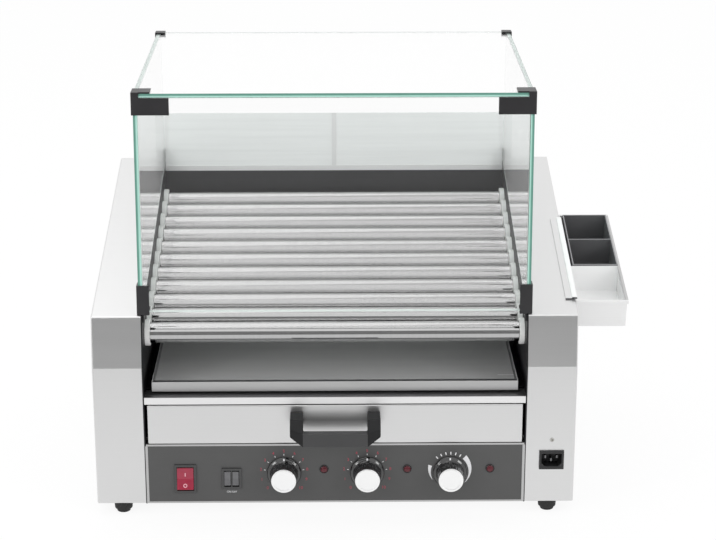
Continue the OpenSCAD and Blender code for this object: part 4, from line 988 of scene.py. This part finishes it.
# Corners as (across from the middle, forward of the drawer, up) in mm
CORNERS = {
    "leg_top": (-half, reach - LEG_SLANT, tall), "leg_top_inner": (-inner, reach - LEG_SLANT, tall),
    "edge": (-half, reach, LEG_EDGE), "cut": (-half, reach, SLANT_CUT), "cut_back": (-half, back, SLANT_CUT),
    "low": (-inner, reach, 0), "low_back": (-inner, back, 0),
    "low_mid": (0, reach, 0), "low_mid_back": (0, back, 0),
    "grip": (-inner, reach, GRIP_TOP), "grip_back": (-inner, back, GRIP_TOP),
    "grip_mid": (0, reach, GRIP_TOP), "grip_mid_back": (0, back, GRIP_TOP),
    "heel_front": (-inner, back, SLANT_CUT), "heel": (-half, 0, SLANT_CUT),
    "heel_inner": (-inner, 0, SLANT_CUT), "root": (-half, 0, tall), "root_inner": (-inner, 0, tall),
}
LEG_FACES = [
    "leg_top edge grip leg_top_inner", "edge cut low grip", "cut cut_back low_back low",
    "cut_back heel_front low_back", "leg_top edge cut cut_back heel root",
    "cut_back heel heel_inner heel_front", "leg_top_inner grip grip_back heel_front heel_inner root_inner",
    "leg_top leg_top_inner root_inner root", "root root_inner heel_inner heel"]
# Faces of the grip between the legs, painted paler as painted sheen
PALE_GRIP_FACES = [
    "low low_mid grip_mid grip", "low low_back low_mid_back low_mid",
    "grip grip_mid grip_mid_back grip_back", "low_back low_mid_back grip_mid_back grip_back heel_front"]
number_of = {name: number for number, name in enumerate(CORNERS)}
half_bow = MM * np.array(list(CORNERS.values())) * [1, -1, 1]
handle_parts = []
for side in (1, -1):
    for finish, faces in enumerate((LEG_FACES, PALE_GRIP_FACES)):
        cells = [[number_of[corner] for corner in face.split()] for face in faces]
        handle_parts.append((handle_foot + half_bow * [side, 1, 1], cells, finish))
handle = piece("drawer_bow_handle", handle_parts, [leg_abs, grip_abs], "drawer",
               ("drawer_handle",), crease=HANDLE_CREASE)
bevel = handle.modifiers.new("moulded edges", "BEVEL")
bevel.width, bevel.segments, bevel.harden_normals = HANDLE_ROUND, 3, True
bevel.limit_method, bevel.angle_limit = "ANGLE", HANDLE_EDGE
print("handle:", len(handle.data.polygons), "faces before rounding")

# %% [markdown]
# The machine stands on four rubber feet, moulded with a slight taper and a narrower, rounded sole. The rear
# cover is held by pan-head screws, and one more sits above the inlet. A cross recess could be cut with a
# boolean, but a dip in the turned head keeps the mesh clean: it is deep near either of two crossing lines
# and only inside the middle of the head.

# %% Feet and screws
SOLE_INSET, SOLE_HEIGHT, SOLE_TAPER, FOOT_TAPER, FOOT_ROUND = 3.0, 4.0, 0.4, 0.8, 0.7
foot_parts = []
for low, high in solids_of("feet"):
    place = [(low[0] + high[0]) / 2, (low[1] + high[1]) / 2, 0.0]
    wide, tall_foot = (high[0] - low[0]) / 2 / MM, high[2] / MM
    narrow = wide - SOLE_INSET
    sole = eased([(0, 0), (narrow - SOLE_TAPER, 0), (narrow, SOLE_HEIGHT), (wide - FOOT_TAPER, SOLE_HEIGHT),
                  (wide, tall_foot), (0, tall_foot)], FOOT_ROUND)
    foot_parts.append((*turned(sole, place, (0, 0, 1), 48), 0))
piece("rubber_feet", foot_parts, [rubber], "body", ("feet",))

# Shares of the head's radius: depth of the cross, half width and reach of its arms, and the slopes of both
CROSS_DEEP, CROSS_ARM, CROSS_REACH, ARM_SLOPE, REACH_SLOPE = 0.5, 0.16, 0.62, 0.07, 0.08
# Straight rim of the head as a share of its height, and how square its dome is
HEAD_RIM, HEAD_POWER = 0.45, 0.9
COVER_SCREW_TALL, CASING_SCREW_TALL, CASING_SCREW_RADIUS = 2.0, 1.4, 2.6
CASING_SCREW_Z = 95.5 * MM


def screw_head(place, out, radius, tall):
    """Pan head: radius sin(t)^power and a height that grows from the rim with cos(t), less the cross.
    The cross is deep where either of its lines is nearer than the arm's half width, and inside its reach."""
    def cross(across, up):
        near = np.minimum(np.abs(across), np.abs(up)) / radius
        far = np.hypot(across, up) / radius
        arms = np.clip((CROSS_ARM - near) / ARM_SLOPE, 0, 1)
        return CROSS_DEEP * radius * arms * np.clip((CROSS_REACH - far) / REACH_SLOPE, 0, 1)

    t = np.linspace(math.pi / 2, 0, 28)
    rise = HEAD_RIM + (1 - HEAD_RIM) * np.cos(t)
    dome = np.column_stack([radius * np.sin(t) ** HEAD_POWER, tall * rise])
    return turned(np.vstack([[(radius, 0.0)], dome]), place, out, 96, sink=cross)


screw_parts = []
for low, high in solids_of("fixing_screws"):
    place = [(low[0] + high[0]) / 2, high[1] - COVER_SCREW_TALL * MM, (low[2] + high[2]) / 2]
    screw_parts.append((*screw_head(place, (0, 1, 0), (high[0] - low[0]) / 2 / MM, COVER_SCREW_TALL), 0))
piece("rear_cover_screws", screw_parts, [screw_metal], "body", ("fixing_screws",))
casing_screw = np.array([inlet[0], PANEL_FACE, CASING_SCREW_Z])
casing_head = screw_head(casing_screw, TO_FRONT, CASING_SCREW_RADIUS, CASING_SCREW_TALL)
piece("casing_front_screw", [(*casing_head, 0)], [screw_metal], "body",
      axis=(casing_screw, TO_FRONT))
print("feet:", len(foot_parts), "screws:", len(screw_parts) + 1)

# %% [markdown]
# The panel's marks are screen-printed ink. Two dials have ticks and numbers over three quarters of a turn,
# from lower left over the top to lower right. A tick is a narrow quad along a radius; the third dial shows
# more or less heat by two crescents, bands whose width grows with the angle. A pattern in the film's
# material could draw them too, but thin faces stay sharp from near and go with the mesh.

# %% Shapes of the printed marks
INK = 0.1
CRESCENT_TIP, CRESCENT_STEPS = 0.3, 40


def round_the(degrees):
    """Unit vectors (across, up) at these angles, counted from the right and anticlockwise."""
    angle = np.radians(np.asarray(degrees, float))
    return np.column_stack([np.cos(angle), np.sin(angle)])


def on_panel(place, flat):
    """Points given as (across, up) in mm from a place on the panel, lifted off it by the ink's height."""
    flat = np.asarray(flat, float).reshape(-1, 2)
    return place + MM * np.column_stack([flat[:, 0], np.full(len(flat), -INK), flat[:, 1]])


def ticks(place, degrees, inner, outer, width):
    """Quads along the radii at these angles, from the inner to the outer radius."""
    along = round_the(degrees)
    aside = along[:, ::-1] * [-1, 1] * width / 2
    sides = [inner * along - aside, outer * along - aside, outer * along + aside, inner * along + aside]
    return on_panel(place, np.stack(sides, axis=1)), np.arange(4 * len(along)).reshape(-1, 4)


def crescent(place, start, end, inner, growth):
    """Band from start to end angle on one inner radius; its width grows evenly from its tip by growth."""
    share = np.linspace(0, 1, CRESCENT_STEPS)
    ring = round_the(start + share * (end - start))
    rim = ring * (inner + CRESCENT_TIP + growth * share)[:, None]
    return on_panel(place, np.stack([rim, ring * inner], axis=1)), quads(CRESCENT_STEPS, 2, False)


def letters(words, size, place, offset):
    """Plain type as flat faces, centred on a point given in mm from a place on the panel."""
    curve = bpy.data.curves.new(words, "FONT")
    curve.body, curve.size, curve.align_x, curve.align_y = words, size, "CENTER", "CENTER"
    curve.resolution_u = 3
    sample = bpy.data.objects.new(words, curve)
    flat = bpy.data.meshes.new_from_object(sample)
    points = np.array([tuple(v.co)[:2] for v in flat.vertices])
    faces = [tuple(p.vertices) for p in flat.polygons]
    bpy.data.objects.remove(sample)
    bpy.data.curves.remove(curve)
    bpy.data.meshes.remove(flat)
    return on_panel(place, points + offset), faces


print("ink stands", INK, "mm in front of the panel")

# %% Printed marks
SWEEP_START, SWEEP_END, TOP_NUMBER = 225, -45, 10
TICK_RING, TICK_WIDE, NUMBER_RING, NUMBER_SIZE = (22.6, 24.6), 0.8, 28.4, 5.4
HEAT_ANGLES, HEAT_RING, HEAT_TICK = np.linspace(130, 60, 6), (22.8, 26.4), 1.3
# Start and end angle, inner radius and growth of each crescent
CRESCENTS = [(-38, 48, 22.8, 6.2), (205, 160, 23.2, 4.4)]
SWITCH_WORDS, WORD_SIZE, WORD_DROP = "ON OFF", 3.4, -18.0
white_marks, red_marks = [], []
angles = np.linspace(SWEEP_START, SWEEP_END, TOP_NUMBER + 1)
for side in ("left", "middle"):
    place = knob_places[side]
    white_marks.append((*ticks(place, angles[2:-2], *TICK_RING, TICK_WIDE), 0))
    for number, spot in enumerate(NUMBER_RING * round_the(angles)):
        red_marks.append((*letters(str(number), NUMBER_SIZE, place, spot), 0))
place = knob_places["right"]
white_marks.append((*ticks(place, HEAT_ANGLES, *HEAT_RING, HEAT_TICK), 0))
white_marks += [(*crescent(place, *row), 0) for row in CRESCENTS]
white_marks.append((*letters(SWITCH_WORDS, WORD_SIZE, on_face("twin_switch_body"), [0, WORD_DROP]), 0))
piece("panel_white_print", white_marks, [white_ink], "body", solid=False)
piece("panel_red_print", red_marks, [red_ink], "body", solid=False)
print("printed marks:", len(white_marks), "white and", len(red_marks), "red")

# %% [markdown]
# The power rocker carries the two switch signs, a line for on and a ring for off. The rocker's face is bent
# in the middle, so flat signs would sink into it: they are cut as flat outlines and dropped straight back
# onto its two slanted faces, and they tip with it.

# %% Signs on the power rocker
LINE_UP, RING_UP, LINE_SIZE, RING_RADII, RING_SIDES = 6.0, -7.5, (1.0, 4.4), (2.4, 1.5), 28
RAY_START = 100 * MM


def on_rocker(node_name, flat):
    """Points (across, up) in mm from a rocker's middle, dropped on its front and lifted a little."""
    start = middle(node_name) * [1, 0, 1] + [0, PANEL_FACE - RAY_START, 0]
    shell = merged(node_name)
    surface = BVHTree.FromBMesh(shell)
    shell.free()
    back = Vector((0, 1, 0))
    hits = [surface.ray_cast(Vector(start + MM * np.array([x, 0, z])), back)[0] for x, z in flat]
    return np.array(hits) - [0, INK * MM, 0]


line = np.array(rectangle(-0.5, 0.5, -0.5, 0.5)) * LINE_SIZE + [0, LINE_UP]
circle = round_the(np.linspace(0, 360, RING_SIDES, endpoint=False))
ring = np.vstack([radius * circle + [0, RING_UP] for radius in RING_RADII])
signs = [(on_rocker("power_rocker", line), [range(4)], 0),
         (on_rocker("power_rocker", ring), quads(2, RING_SIDES, True), 0)]
piece("power_rocker_signs", signs, [pink_ink], "power_rocker", solid=False)
print("signs on the power rocker:", len(signs))

# %% [markdown]
# Last, the box of the dressed machine is measured.

low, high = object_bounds()
